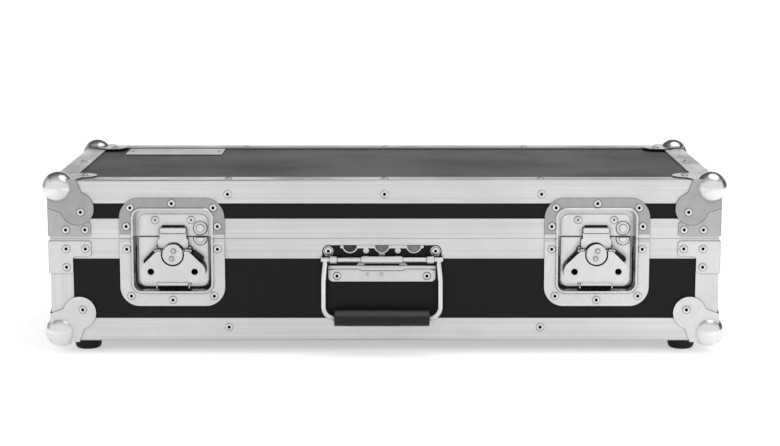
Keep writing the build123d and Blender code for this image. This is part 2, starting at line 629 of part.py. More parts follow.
def rotor():
    """Turning piece: disc in front, yoke with the wing's ears and pin, eccentric and axle behind."""
    centre = at(0, ROTOR_HEIGHT)
    disc = slab(centre * Circle(ROTOR_DISC_RADIUS), ROTOR_DISC_FRONT, ROTOR_DISC_FRONT + ROTOR_DISC_THICKNESS)
    disc = chamfer(disc.faces().sort_by(Axis.Y)[0].edges(), ROTOR_DISC_THICKNESS / 3)
    turn = radians(DISC_STUD_TURN)
    for side in (-DISC_STUD_THROW, DISC_STUD_THROW):
        disc += slab(at(side * sin(turn), ROTOR_HEIGHT + side * cos(turn)) * Circle(DISC_STUD_RADIUS),
                     ROTOR_DISC_FRONT - DISC_STUD_HEIGHT, ROTOR_DISC_FRONT + ROTOR_DISC_THICKNESS)
    hub = slab(centre * Circle(BOSS_RADIUS), ROTOR_DISC_FRONT + ROTOR_DISC_THICKNESS / 2, YOKE_FRONT)
    ear_out = WING_EAR[1]
    knuckle_low = WING_PIVOT_HEIGHT - WING_KNUCKLE_RADIUS - PRESSED_CLEARANCE
    yoke = slab(rounded(2 * ear_out, knuckle_low - YOKE_HEIGHT, knuckle_low, YOKE_CORNER),
                YOKE_FRONT, YOKE_FRONT + YOKE_THICKNESS)
    spot = Vector(0, depth(WING_PIVOT_Y), UNDERSIDE + WING_PIVOT_HEIGHT)
    along_x = Vector(1, 0, 0)
    ear = rod(WING_EAR_RADIUS, spot + along_x * WING_EAR[0], spot + along_x * ear_out)
    web = block(WING_EAR, (depth(WING_PIVOT_Y), depth(YOKE_FRONT + YOKE_THICKNESS)),
                (UNDERSIDE + knuckle_low - YOKE_CORNER, UNDERSIDE + WING_PIVOT_HEIGHT))
    pin = rod(WING_PIN_RADIUS, spot - along_x * ear_out, spot + along_x * ear_out)
    eccentric = slab(at(0, ROTOR_HEIGHT - ECCENTRIC_THROW) * Circle(ECCENTRIC_RADIUS),
                     YOKE_FRONT + YOKE_THICKNESS, HOOK_FRONT + HOOK_THICKNESS + PRESSED_CLEARANCE)
    axle = slab(centre * Circle(AXLE_RADIUS), HOOK_FRONT, TUB_DEPTH - PRESSED_CLEARANCE)
    return disc + hub + yoke + ear + mirror_x(ear) + web + mirror_x(web) + pin + eccentric + axle


def tangent_point(point, centre, radius):
    """Where the line from a point above touches the outer right side of a circle."""
    across, up = point[0] - centre[0], point[1] - centre[1]
    turn = atan2(up, across) - acos(radius / hypot(across, up))
    return centre[0] + radius * cos(turn), centre[1] + radius * sin(turn)


def wing():
    """Folding finger plate with two padlock lobes, cut out round the rotor's disc, and a lip to lift it by."""
    hole_x, drop = PADLOCK_HOLE
    holes = [at(x, ROTOR_HEIGHT - drop) for x in (-hole_x, hole_x)]
    shoulder, lobe = (WING_SHOULDER, UNDERSIDE + WING_PIVOT_HEIGHT), (hole_x, UNDERSIDE + ROTOR_HEIGHT - drop)
    side = make_face(Polyline((0, shoulder[1]), shoulder, tangent_point(shoulder, lobe, WING_LOBE_RADIUS),
                              lobe, (0, lobe[1]), close=True))
    outline = side + mirror(side, about=Plane.YZ)
    for hole in holes:
        outline += hole * Circle(WING_LOBE_RADIUS)
    outline += rounded(2 * hole_x, ROTOR_HEIGHT - drop - WING_LOBE_RADIUS, ROTOR_HEIGHT - drop, WING_CORNER)
    lip_bottom = ROTOR_HEIGHT - FINGER_LIP_DROP
    outline += rounded(2 * FINGER_LIP_HALF, lip_bottom + FINGER_LIP_RADIUS / 2, ROTOR_HEIGHT - drop, WING_CORNER)
    outline -= at(0, ROTOR_HEIGHT) * Circle(ROTOR_DISC_RADIUS + WING_DISC_GAP)
    for hole in holes:
        outline -= hole * Circle(PADLOCK_HOLE_RADIUS)
    plate = slab(outline, WING_FRONT, WING_FRONT + WING_THICKNESS)
    pivot = Vector(0, depth(WING_PIVOT_Y), UNDERSIDE + WING_PIVOT_HEIGHT)
    along_x = Vector(1, 0, 0)
    knuckle = rod(WING_KNUCKLE_RADIUS, pivot + along_x * WING_KNUCKLE[0], pivot + along_x * WING_KNUCKLE[1])
    tongue = block(WING_KNUCKLE, (depth(WING_FRONT), depth(WING_PIVOT_Y)),
                   (UNDERSIDE + WING_PIVOT_HEIGHT - WING_KNUCKLE_RADIUS, UNDERSIDE + WING_PIVOT_HEIGHT))
    bore = rod(WING_PIN_RADIUS + RUNNING_CLEARANCE, pivot - along_x * WING_EAR[0], pivot + along_x * WING_EAR[0])
    back = WING_FRONT + WING_THICKNESS
    lip_axis = (depth(back), UNDERSIDE + lip_bottom + FINGER_LIP_RADIUS)
    lip = rod(FINGER_LIP_RADIUS, (-FINGER_LIP_HALF, *lip_axis), (FINGER_LIP_HALF, *lip_axis))
    lip -= block((-DISH_WIDTH, DISH_WIDTH), (depth(back), depth(TUB_DEPTH)), (UNDERSIDE, TOP))
    return plate + knuckle + mirror_x(knuckle) + tongue + mirror_x(tongue) + lip - bore


# ---------------------------------------------------------------- handle
def handle_plate():
    """Pressed plate in the rail's notch: riveted ears, cups, rolled tubes for the wire and a lower leaf."""
    axis = SPLIT_HEIGHT - HANDLE_AXIS_DROP
    notch_top = SPLIT_HEIGHT - HANDLE_NOTCH_DROP
    spine = rounded(2 * HANDLE_SPINE_HALF, axis + HANDLE_SPINE[0], axis + HANDLE_SPINE[1], HANDLE_CORNER)
    return (slab(spine + upper_leaf(axis, notch_top) + lower_leaf(axis), 0, HANDLE_SHEET)
            + raised_band() + wire_tubes(UNDERSIDE + axis))


def upper_leaf(axis, notch_top):
    """Outline above the wire: an ear at each end, and a strip with three open cups and two studs."""
    tab_x, tab_drop = HANDLE_TAB
    strip_top = notch_top - HANDLE_STRIP_GAP
    outline = rounded(HANDLE_STRIP_WIDTH, strip_top - HANDLE_STRIP_HEIGHT, strip_top, HANDLE_CORNER)
    outline += rounded(CUP_LINK, axis, strip_top - CUP_RADIUS, HANDLE_CORNER)
    for x in (-tab_x, tab_x):
        outline += at(x, SPLIT_HEIGHT - tab_drop) * Circle(HANDLE_TAB_RADIUS)
        outline += rounded(HANDLE_TAB_NECK, axis, SPLIT_HEIGHT - tab_drop, HANDLE_CORNER, x)
    stud_x, stud_drop = CUP_STUD
    for x in (-stud_x, stud_x):
        outline += at(x, SPLIT_HEIGHT - stud_drop) * Circle(CUP_STUD_RADIUS)
    for x in (-CUP_PITCH, 0, CUP_PITCH):
        outline += at(x, strip_top) * Circle(CUP_RADIUS + CUP_WALL)
    for x in (-CUP_PITCH, 0, CUP_PITCH):
        outline -= at(x, strip_top) * Circle(CUP_RADIUS)
    return outline & rounded(HANDLE_NOTCH_WIDTH, axis, strip_top, HANDLE_STRIP_GAP)


def lower_leaf(axis):
    """Outline below the wire: the riveted leaf, and the two brackets that carry the wire's cover."""
    high, low = (SPLIT_HEIGHT - drop for drop in HANDLE_LOWER_DROP)
    leaf = rounded(HANDLE_LOWER_WIDTH, low, high, HANDLE_LOWER_RADIUS)
    leaf += rounded(HANDLE_LOWER_WIDTH, (low + high) / 2, high, HANDLE_CORNER)
    inner, outer_high, outer_low = HANDLE_BRACKET
    root, foot_of, head = (UNDERSIDE + height for height in (high - HANDLE_BAND, high, axis))
    bracket = make_face(Polyline((inner, root), (outer_low, root), (outer_low, foot_of),
                                 (outer_high, head), (inner, head), close=True))
    return leaf + bracket + mirror(bracket, about=Plane.YZ)


def raised_band():
    """Band pressed forward along the leaf's upper edge, deeper in the middle."""
    high = UNDERSIDE + SPLIT_HEIGHT - HANDLE_LOWER_DROP[0]
    side, middle = HANDLE_LOWER_WIDTH / 2, HANDLE_BAND_HALF
    slope = HANDLE_BAND_MIDDLE
    outline = make_face(Polyline(
        (-side, high), (-side, high - HANDLE_BAND), (-middle - slope, high - HANDLE_BAND),
        (-middle, high - HANDLE_BAND_MIDDLE), (middle, high - HANDLE_BAND_MIDDLE),
        (middle + slope, high - HANDLE_BAND), (side, high - HANDLE_BAND), (side, high), close=True))
    return slab(outline, -HANDLE_BAND_RISE, HANDLE_SHEET)


def wire_tubes(pivot):
    """The cover and the two knuckles rolled round the bail's top run."""
    axis_y = FRONT - HANDLE_AXIS_OUT
    tubes = rod(HANDLE_TUBE_RADIUS, (-HANDLE_COVER_HALF, axis_y, pivot), (HANDLE_COVER_HALF, axis_y, pivot))
    near, far = HANDLE_KNUCKLE
    for side in (-1, 1):
        tubes += rod(HANDLE_TUBE_RADIUS, (side * near, axis_y, pivot), (side * far, axis_y, pivot))
    behind = block((-HALF, HALF), (FRONT + HANDLE_SHEET, FRONT + TUB_DEPTH), (UNDERSIDE, TOP))
    bore = rod(BAIL_WIRE / 2 + RUNNING_CLEARANCE, (-HALF, axis_y, pivot), (HALF, axis_y, pivot))
    return tubes - behind - bore


def handle_frame():
    """Plane of the hanging bail: origin on the pivot, x to the right, y up the bail."""
    pivot = (0, FRONT - HANDLE_AXIS_OUT, UNDERSIDE + SPLIT_HEIGHT - HANDLE_AXIS_DROP)
    lean = radians(GRIP_DROP_ANGLE)
    return Plane(origin=pivot, x_dir=(1, 0, 0), z_dir=(0, -cos(lean), sin(lean)))


def bail_length():
    """From the pivot to the middle of the grip."""
    return hypot(BAIL_DROP, GRIP_RADIUS + GRIP_REST_GAP - HANDLE_AXIS_OUT)


def handle_bail():
    """Closed wire loop: top run in the sleeve, bottom run in the grip."""
    half = BAIL_WIDTH / 2
    length = bail_length()
    frame = handle_frame()
    corners = [frame.from_local_coords(Vector(x, y, 0)) for x, y in (
        (-half, 0), (half, 0), (half, -length), (-half, -length))]
    path = FilletPolyline(*corners, close=True, radius=(
        BAIL_TOP_RADIUS, BAIL_TOP_RADIUS, BAIL_BOTTOM_RADIUS, BAIL_BOTTOM_RADIUS))
    start = path.edges().sort_by(Axis.Z)[-1]
    section = Plane(origin=start @ 0.5, z_dir=start % 0.5) * Circle(BAIL_WIRE / 2)
    return sweep(section, path=path)


def handle_grip():
    """Rubber sleeve on the bail's bottom run."""
    middle = handle_frame().from_local_coords(Vector(0, -bail_length(), 0))
    across = Vector(GRIP_LENGTH / 2, 0, 0)
    grip = rod(GRIP_RADIUS, middle - across, middle + across)
    grip = fillet(grip.edges().filter_by(GeomType.CIRCLE), GRIP_ROUNDING)
    return grip - rod(BAIL_WIRE / 2, middle - across * 2, middle + across * 2)


# ---------------------------------------------------------------- hinges, drawn about x = 0
def hinge_axis():
    return BACK + HINGE_AXIS_OUT


def knuckle(start, end):
    """Rolled knuckle with its tangent strap down to the leaf's plane."""
    run = (start, hinge_axis(), SPLIT), (end, hinge_axis(), SPLIT)
    return rod(HINGE_BARREL_RADIUS, *run), rod(HINGE_PIN_RADIUS + RUNNING_CLEARANCE, *run)


def base_hinge_leaf():
    """Lower leaf with the two outer knuckles."""
    half = HINGE_LEAF_WIDTH / 2
    inner = HINGE_KNUCKLE / 2 + HINGE_KNUCKLE_GAP
    drop = SPLIT - HINGE_LEAF_HEIGHT
    edge = SPLIT - HINGE_BARREL_RADIUS
    leaf = block((-half, half), (BACK, BACK + HINGE_LEAF), (drop, edge - HINGE_KNUCKLE_GAP))
    bottom = leaf.edges().filter_by(Axis.Y).group_by(Axis.Z)[0]
    leaf = fillet(bottom, BRACE_RADIUS)
    for start, end in ((-half, -inner), (inner, half)):
        barrel, bore = knuckle(start, end)
        strap = block((start, end), (BACK, hinge_axis()), (edge - HINGE_STRAP_LAP, SPLIT))
        leaf = leaf + barrel + strap - bore
    return leaf


def lid_hinge_leaf():
    """Upper leaf with the middle knuckle."""
    half = HINGE_LEAF_WIDTH / 2
    rise = SPLIT + HINGE_LEAF_HEIGHT
    edge = SPLIT + HINGE_BARREL_RADIUS
    leaf = block((-half, half), (BACK, BACK + HINGE_LEAF), (edge + HINGE_KNUCKLE_GAP, rise))
    leaf = fillet(leaf.edges().filter_by(Axis.Y).group_by(Axis.Z)[-1], BRACE_RADIUS)
    middle = (-HINGE_KNUCKLE / 2, HINGE_KNUCKLE / 2)
    barrel, bore = knuckle(*middle)
    strap = block(middle, (BACK, hinge_axis()), (SPLIT, edge + HINGE_STRAP_LAP))
    return leaf + barrel + strap - bore


def hinge_pin():
    half = HINGE_LEAF_WIDTH / 2
    axis = hinge_axis()
    tip = half + HINGE_PIN_HEAD_DEPTH
    pin = rod(HINGE_PIN_RADIUS, (-tip, axis, SPLIT), (tip, axis, SPLIT))
    for side in (-1, 1):
        pin += rod(HINGE_PIN_HEAD, (side * (half + HINGE_KNUCKLE_GAP / 2), axis, SPLIT), (side * tip, axis, SPLIT))
    return pin


# ---------------------------------------------------------------- feet and lining
def foot():
    """Rubber foot under the bottom petal of the front left corner."""
    x, y = -HALF + CORNER_RIVET_INSET, FRONT + CORNER_RIVET_INSET
    seat = UNDERSIDE - SHEET
    cone = Pos(x, y, 0) * Cone(FOOT_TIP_RADIUS, FOOT_RADIUS, seat, align=(Align.CENTER, Align.CENTER, Align.MIN))
    cone = fillet(cone.edges().group_by(Axis.Z)[0], FOOT_ROUNDING)
    return (cone - rod(FOOT_RECESS_RADIUS, (x, y, -1), (x, y, FOOT_RECESS_DEPTH))
            - rod(SCREW_SHANK_RADIUS + JOINT_GAP, (x, y, 0), (x, y, seat + 1)))


def foot_screw():
    """Screw up through the foot, its head in the recess."""
    x, y = -HALF + CORNER_RIVET_INSET, FRONT + CORNER_RIVET_INSET
    head = rod(SCREW_HEAD_RADIUS, (x, y, FOOT_RECESS_DEPTH - SCREW_HEAD_HEIGHT), (x, y, FOOT_RECESS_DEPTH))
    return head + rod(SCREW_SHANK_RADIUS, (x, y, FOOT_RECESS_DEPTH), (x, y, UNDERSIDE - SHEET))


def dish_spaces(grow):
    """Room for both tubs, squared off, for cut-outs in panels, rails and lining."""
    half = TUB_WIDTH / 2 + grow
    return [block((x - half, x + half), (FRONT - 1, FRONT + TUB_DEPTH + grow),
                  (UNDERSIDE + TUB_BOTTOM - grow, UNDERSIDE + TUB_TOP + grow)) for x in (-LATCH_X, LATCH_X)]


def floor_foam():
    side, front, back = HALF - LINING_FACE, FRONT + LINING_FACE, BACK - LINING_FACE
    low = UNDERSIDE + LINING_FACE
    return block((-side, side), (front, back), (low, low + FLOOR_FOAM))


def wall_foam():
    """Four strips standing on the floor foam, the front one cut round the dishes."""
    low = UNDERSIDE + LINING_FACE + FLOOR_FOAM + FOAM_CLEARANCE
    high = BASE_TOP - FOAM_TOP_GAP
    side = HALF - LINING_FACE
    near = FRONT + LINING_FACE
    front = block((-side, side), (near, near + WALL_FOAM), (low, high))
    back = mirror_y(front)
    for space in dish_spaces(SHEET + FOAM_CLEARANCE):
        front -= space
    end = near + WALL_FOAM + FOAM_CLEARANCE
    left = block((-side, -side + WALL_FOAM), (end, 2 * SETBACK - end), (low, high))
    return [front, back, left, mirror_x(left)]


def lid_foam():
    side, front, back = HALF - LINING_FACE, FRONT + LINING_FACE, BACK - LINING_FACE
    high = TOP - LINING_FACE
    return block((-side, side), (front, back), (high - LID_FOAM, high))


def nameplate():
    width, length = NAMEPLATE_SIZE
    z = TOP - PANEL_FACE
    plate = Pos(NAMEPLATE_X, FRONT + NAMEPLATE_Y, z) * Box(
        width, length, NAMEPLATE_THICKNESS, align=(Align.CENTER, Align.CENTER, Align.MIN))
    return fillet(plate.edges().filter_by(Axis.Z), NAMEPLATE_CORNER)


# ---------------------------------------------------------------- rivets
def face_rivets(points, y, outward):
    return [rivet((x, y, UNDERSIDE + height), (0, outward, 0)) for x, height in points]


def lid_rivets():
    """Heads on the lid: edge legs, braces, ball corners, dishes, keepers, hinges and nameplate."""
    pitch = (-RIVET_PITCH, 0, RIVET_PITCH)
    high = CASE_HEIGHT - RIVET_INSET
    heads = face_rivets([(x, high) for x in pitch], FRONT, -1) + face_rivets([(x, high) for x in pitch], BACK, 1)
    heads += [rivet((x, y, TOP), (0, 0, 1)) for x in pitch for y in (FRONT + RIVET_INSET, BACK - RIVET_INSET)]
    heads += both_sides(rivet((-HALF + RIVET_INSET, SETBACK, TOP), (0, 0, 1)))
    near, far, petal = BRACE_RIVET_NEAR, BRACE_RIVET_FAR, CORNER_RIVET_INSET
    arm = LID_BRACE_BOTTOM + (BRACE_ARM - BRACE_RIVET_NEAR)
    corner = face_rivets([(-HALF + near, arm), (-HALF + far, arm)], FRONT - BRACE_THICKNESS, -1)
    corner += [rivet((-HALF - BRACE_THICKNESS, FRONT + inset, UNDERSIDE + arm), (-1, 0, 0)) for inset in (near, far)]
    corner += petal_rivets(TOP, 1)
    corner.append(rivet((-HALF + petal, FRONT + petal, TOP + SHEET), (0, 0, 1)))
    heads += [head for shape in corner for head in four_corners(shape)]
    dish = dish_rivets(DISH_RIVETS[:3])
    keeper_x, keeper_rise = KEEPER_RIVET
    for latch in (-LATCH_X, LATCH_X):
        heads += face_rivets([(latch + x, height) for x, height in dish], FRONT - SHEET, -1)
        heads += face_rivets([(latch + side * keeper_x, SPLIT_HEIGHT + keeper_rise) for side in (-1, 1)],
                             depth(TUB_DEPTH - MECHANISM_PLATE), -1)
    return heads + hinge_rivets(1) + plate_rivets()


def dish_rivets(spots):
    """Both sides' rivets of a dish half, as places across and heights."""
    return [(side * x, SPLIT_HEIGHT + rise) for x, rise in spots for side in ((1,) if x == 0 else (-1, 1))]


def petal_rivets(level, up):
    """One head in each upright petal of the front left corner, at the top or the underside."""
    inset = CORNER_RIVET_INSET
    height = level - up * inset
    return [rivet((-HALF + inset, FRONT - SHEET, height), (0, -1, 0)),
            rivet((-HALF - SHEET, FRONT + inset, height), (-1, 0, 0))]


def hinge_rivets(up):
    """Three heads in each hinge leaf."""
    spread = HINGE_LEAF_WIDTH / 2 - HINGE_RIVET_INSET
    height = SPLIT_HEIGHT + up * (HINGE_LEAF_HEIGHT - HINGE_RIVET_INSET)
    points = [(hinge + x, height) for hinge in (-HINGE_X, HINGE_X) for x in (-spread, 0, spread)]
    return face_rivets(points, BACK + HINGE_LEAF, 1)


def plate_rivets():
    """Two small heads that hold the nameplate."""
    spread = NAMEPLATE_SIZE[0] / 2 - NAMEPLATE_RIVET_INSET
    z = TOP - PANEL_FACE + NAMEPLATE_THICKNESS
    return [Pos(NAMEPLATE_X + x, FRONT + NAMEPLATE_Y, z) * Cone(
        *NAMEPLATE_RIVET, align=(Align.CENTER, Align.CENTER, Align.MIN)) for x in (-spread, spread)]


def base_rivets():
    """Heads on the base: edge legs, braces, ball corners, dishes, handle and hinges."""
    ends = (-RIVET_PITCH, RIVET_PITCH)
    heads = face_rivets([(x, RIVET_INSET) for x in ends], FRONT, -1)
    heads += face_rivets([(x, RIVET_INSET) for x in ends], BACK, 1)
    near, far = BRACE_RIVET_NEAR, BRACE_RIVET_FAR
    arm = (BASE_BRACE_TOP + BASE_BRACE_ARM_BOTTOM) / 2
    low = BASE_BRACE_BOTTOM + BASE_BRACE_LOW_RIVET
    spots = [(near, arm), (far, arm), (near, low)]
    corner = face_rivets([(-HALF + inset, height) for inset, height in spots], FRONT - BRACE_THICKNESS, -1)
    corner += [rivet((-HALF - BRACE_THICKNESS, FRONT + inset, UNDERSIDE + height), (-1, 0, 0))
               for inset, height in spots]
    corner += petal_rivets(UNDERSIDE, -1)
    heads += [head for shape in corner for head in four_corners(shape)]
    dish = dish_rivets(DISH_RIVETS[3:])
    for latch in (-LATCH_X, LATCH_X):
        heads += face_rivets([(latch + x, height) for x, height in dish], FRONT - SHEET, -1)
    heads += face_rivets([(HANDLE_X + side * x, SPLIT_HEIGHT - drop)
                          for x, drop in (HANDLE_TAB, HANDLE_LOWER_RIVET) for side in (-1, 1)], FRONT, -1)
    return heads + hinge_rivets(-1)


# ---------------------------------------------------------------- assembly
def at_latches(shape):
    return [Pos(-LATCH_X, 0, 0) * shape, Pos(LATCH_X, 0, 0) * shape]


def cut(shape, spaces):
    for space in spaces:
        shape -= space
    return shape


def build_shell():
    """Panels, edge extrusions, posts and closing rails of both halves."""
    openings = dish_spaces(SHEET + TUB_CLEARANCE)
    handle_notch = slab(rounded(HANDLE_NOTCH_WIDTH, SPLIT_HEIGHT - 2 * BASE_RAIL_HEIGHT,
                                SPLIT_HEIGHT - HANDLE_NOTCH_DROP, HANDLE_NOTCH_RADIUS, HANDLE_X), -1, PANEL_FACE)
    for half, panel_heights, level, up, section in (
            ("lid", LID_PANEL, TOP, -1, lid_rail_section()),
            ("base", BASE_PANEL, UNDERSIDE, 1, base_rail_section())):
        save("lid_top_panel" if half == "lid" else "base_floor_panel", level_panel(level, up))
        front, left = front_panel(*panel_heights), left_panel(*panel_heights)
        save(f"{half}_front_panel", cut(front, openings))
        save(f"{half}_back_panel", mirror_y(front))
        save(f"{half}_side_panels", group(both_sides(left)))
        edge, side_edge = edge_along_x(level, up), edge_along_y(level, up)
        save(f"{half}_edge_front", edge)
        save(f"{half}_edge_back", mirror_y(edge))
        save(f"{half}_edge_left", side_edge)
        save(f"{half}_edge_right", mirror_x(side_edge))
        rail, side_rail = rail_along_x(section), rail_along_y(section)
        front_cuts = openings + ([handle_notch] if half == "base" else [])
        save(f"{half}_rail_front", group([cut(rail, front_cuts)]))
        save(f"{half}_rail_back", mirror_y(rail))
        save(f"{half}_rail_left", side_rail)
        save(f"{half}_rail_right", mirror_x(side_rail))
    lid_post = corner_post(SPLIT + LID_RAIL_HEIGHT, TOP - LEG_WIDTH)
    base_post = corner_post(UNDERSIDE + LEG_WIDTH, SPLIT - BASE_RAIL_HEIGHT)
    save("lid_corner_posts", group(four_corners(lid_post)))
    save("base_corner_posts", group(four_corners(base_post)))


def build_corners():
    ball = ball_corner()
    low_ball = mirror(ball, about=Plane.XY.offset((TOP + UNDERSIDE) / 2))
    save("lid_ball_corners", group(four_corners(ball)))
    save("base_ball_corners", group(four_corners(low_ball)))
    save("lid_braces", group(four_corners(lid_brace())))
    save("base_braces", group(four_corners(base_brace())))
    save("lid_rivets", group(lid_rivets()))
    save("base_rivets", group(base_rivets()))


def build_latches():
    pieces = {"latch_dish_upper": dish_half(True), "latch_dish_lower": dish_half(False),
              "latch_base": latch_base(), "latch_keeper": keeper(), "latch_hook": hook(),
              "latch_rotor": rotor(), "latch_wing": wing()}
    for name, shape in pieces.items():
        for side, placed in zip(("left", "right"), at_latches(shape)):
            save(f"{name}_{side}", placed)


def build_handle():
    for name, shape in (("handle_plate", handle_plate()), ("handle_bail", handle_bail()),
                        ("handle_grip", handle_grip())):
        save(name, Pos(HANDLE_X, 0, 0) * shape)


def build_hinges():
    for name, shape in (("hinge_base_leaves", base_hinge_leaf()), ("hinge_lid_leaves", lid_hinge_leaf()),
                        ("hinge_pins", hinge_pin())):
        save(name, group([Pos(-HINGE_X, 0, 0) * shape, Pos(HINGE_X, 0, 0) * shape]))


def build_fittings():
    save("feet", group(four_corners(foot())))
    save("foot_screws", group(four_corners(foot_screw())))
    save("base_floor_foam", floor_foam())
    save("base_wall_foam", group(wall_foam()))
    save("lid_foam", lid_foam())
    save("nameplate", nameplate())


build_shell()
build_corners()
build_latches()
build_handle()
build_hinges()
build_fittings()
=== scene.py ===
"""Finishes and details for the pedal flight case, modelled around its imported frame.

Metres, +Z up, +X along the front to the right, +Y from the front to the back.
"""

from math import atan2, cos, hypot, pi, radians, sin

import bmesh
import bpy
from bpy.props import FloatProperty, FloatVectorProperty, PointerProperty
from mathutils import Matrix, Vector


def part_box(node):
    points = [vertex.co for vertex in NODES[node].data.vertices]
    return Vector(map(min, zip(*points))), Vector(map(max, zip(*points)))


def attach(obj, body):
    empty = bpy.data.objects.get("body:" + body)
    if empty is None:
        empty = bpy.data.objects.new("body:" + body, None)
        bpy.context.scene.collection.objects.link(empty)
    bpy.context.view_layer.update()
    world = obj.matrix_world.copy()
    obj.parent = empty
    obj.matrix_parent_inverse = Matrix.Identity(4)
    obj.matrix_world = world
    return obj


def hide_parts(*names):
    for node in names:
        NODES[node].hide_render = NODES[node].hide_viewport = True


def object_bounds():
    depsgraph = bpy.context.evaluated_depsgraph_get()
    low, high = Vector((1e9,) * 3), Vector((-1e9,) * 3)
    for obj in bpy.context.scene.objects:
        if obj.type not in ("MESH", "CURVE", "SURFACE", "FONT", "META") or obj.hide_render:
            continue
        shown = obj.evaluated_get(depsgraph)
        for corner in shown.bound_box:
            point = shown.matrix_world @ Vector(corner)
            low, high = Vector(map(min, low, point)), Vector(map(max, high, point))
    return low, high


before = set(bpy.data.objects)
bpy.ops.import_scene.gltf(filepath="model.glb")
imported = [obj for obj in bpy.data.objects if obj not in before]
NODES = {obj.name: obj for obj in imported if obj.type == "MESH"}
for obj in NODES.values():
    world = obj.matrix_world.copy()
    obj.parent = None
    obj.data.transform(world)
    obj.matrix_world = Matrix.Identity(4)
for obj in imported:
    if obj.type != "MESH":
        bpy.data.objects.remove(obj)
CAD_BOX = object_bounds()

bl_info = {
    "name": "Pedal case finish",
    "version": (1, 0, 0),
    "blender": (4, 5, 0),
    "location": "3D View > Sidebar > Pedal case",
    "description": "Finishes, hardware details and studio for a pedal flight case",
    "category": "Object",
}

MM = 0.001
WELD, NEAR = 0.002 * MM, 0.01 * MM


def grey(level, tint=0.0):
    """A linear colour from a screen grey of 0 to 255; a tint above 0 leans blue, below 0 warm."""
    value = (level / 255.0) ** 2.2
    return (value * (1 - tint), value, value * (1 + tint))


# ------------------------ settings
def colour(name, text, level, tint=0.0):
    return FloatVectorProperty(name=name, description=text, subtype="COLOR", size=3,
                               min=0.0, max=1.0, default=grey(level, tint))


def length(name, text, millimetres):
    return FloatProperty(name=name, description=text, subtype="DISTANCE", unit="LENGTH",
                         min=0.0, precision=5, default=millimetres * MM)


class CaseColours(bpy.types.PropertyGroup):
    """The colours of the case's finishes."""
    laminate: colour("Laminate", "Textured face of the plywood panels", 21, 0.01)
    aluminium: colour("Aluminium", "Anodised edge and closing extrusions", 208, 0.004)
    nickel: colour("Nickel", "Plating of the ball corners", 222, 0.004)
    zinc: colour("Zinc", "Plating of the base's braces, dishes and latches", 204, 0.006)
    # Painted shade: the lid's flanges and petals take a darker copy of the zinc.
    dull_zinc: colour("Dull zinc", "Duller plating of the lid's dish flanges and corner petals", 160, 0.006)
    # Painted shade: the lid's braces take a darker copy of the zinc.
    brace: colour("Braces", "Plating of the lid's braces", 170, 0.006)
    rivet: colour("Rivet", "Heads of the blind rivets", 214, 0.004)
    # Painted shade inside rivet heads, the keeper's slot, the leaf's crease and the padlock wells.
    shadow: colour("Rivet hole", "Inside of a rivet head", 22)
    rubber: colour("Rubber", "Sleeve of the grip", 27)
    foot: colour("Foot rubber", "Feet", 10)
    foam: colour("Foam", "Lining", 52, 0.02)


class CaseSizes(bpy.types.PropertyGroup):
    """The sizes of the details."""
    edge_round: length("Edge rounding", "Apparent rounding of sheet metal edges", 0.35)
    line_pitch: length("Line pitch", "Spacing of the drawn lines along an extrusion", 0.55)
    stipple_pitch: length("Stipple pitch", "Spacing of the laminate's pebbles", 0.9)
    shadow_reach: length("Shadow reach", "How far from a gap or a corner the dark reaches", 7.0)
    foam_cell: length("Foam cell", "Size of the foam's open cells", 1.1)


class CaseStudio(bpy.types.PropertyGroup):
    """Camera and light."""
    camera_place: FloatVectorProperty(name="Camera place", description="Where the camera stands",
                                      subtype="TRANSLATION", unit="LENGTH", size=3, precision=4,
                                      default=(0.0056, -2.17325, 0.4626))
    camera_pitch: FloatProperty(name="Camera pitch", description="How far the camera looks down",
                                subtype="ANGLE", unit="ROTATION", default=radians(9.11))
    lens: FloatProperty(name="Lens", description="Focal length on a 36 mm wide frame",
                        subtype="DISTANCE_CAMERA", unit="CAMERA", default=92.2)
    key_power: FloatProperty(name="Key light", description="Power of the overhead softbox",
                             subtype="POWER", unit="POWER", default=12.0)
    floor_glow: FloatProperty(name="Floor glow", description="What the open floor shows above its own light",
                              subtype="FACTOR", min=0.0, max=2.0, default=0.5)
    floor_shine: FloatProperty(name="Floor shine", description="What reflections show above its own light",
                               subtype="FACTOR", min=0.0, max=2.0, default=0.56)
    world: FloatProperty(name="World", description="Strength of the even light all round",
                         subtype="FACTOR", min=0.0, max=4.0, default=0.75)


def colours():
    return bpy.context.scene.case_colours


def sizes():
    return bpy.context.scene.case_sizes


def studio():
    return bpy.context.scene.case_studio


# ------------------------ node wiring
def add(tree, kind, settings=None, inputs=None):
    """A new shader node; each input is linked to a socket or set to a value."""
    made = tree.nodes.new("ShaderNode" + kind)
    for key, value in (settings or {}).items():
        setattr(made, key, value)
    for key, value in (inputs or {}).items():
        feed(tree, made.inputs[key], value)
    return made


def feed(tree, socket, value):
    if isinstance(value, bpy.types.NodeSocket):
        tree.links.new(value, socket)
    else:
        socket.default_value = value


def maths(tree, operation, *values):
    return add(tree, "Math", {"operation": operation}, dict(enumerate(values))).outputs[0]


def times(tree, first, second):
    return maths(tree, "MULTIPLY", first, second)


def part_of(tree, vector, axis):
    return add(tree, "SeparateXYZ", None, {0: vector}).outputs[axis]


def noise(tree, vector, scale, **settings):
    return add(tree, "TexNoise", None, {"Vector": vector, "Scale": scale, **settings}).outputs[0]


def remap(tree, value, low, high, to_low=0.0, to_high=1.0):
    """The value's range from low to high, spread from to_low to to_high."""
    return add(tree, "MapRange", None, {0: value, 1: low, 2: high, 3: to_low, 4: to_high}).outputs[0]


def blend_colours(tree, factor, first, second):
    made = add(tree, "Mix", {"data_type": "RGBA"})
    feed(tree, made.inputs[0], factor)
    feed(tree, made.inputs[6], first)
    feed(tree, made.inputs[7], second)
    return made.outputs[2]


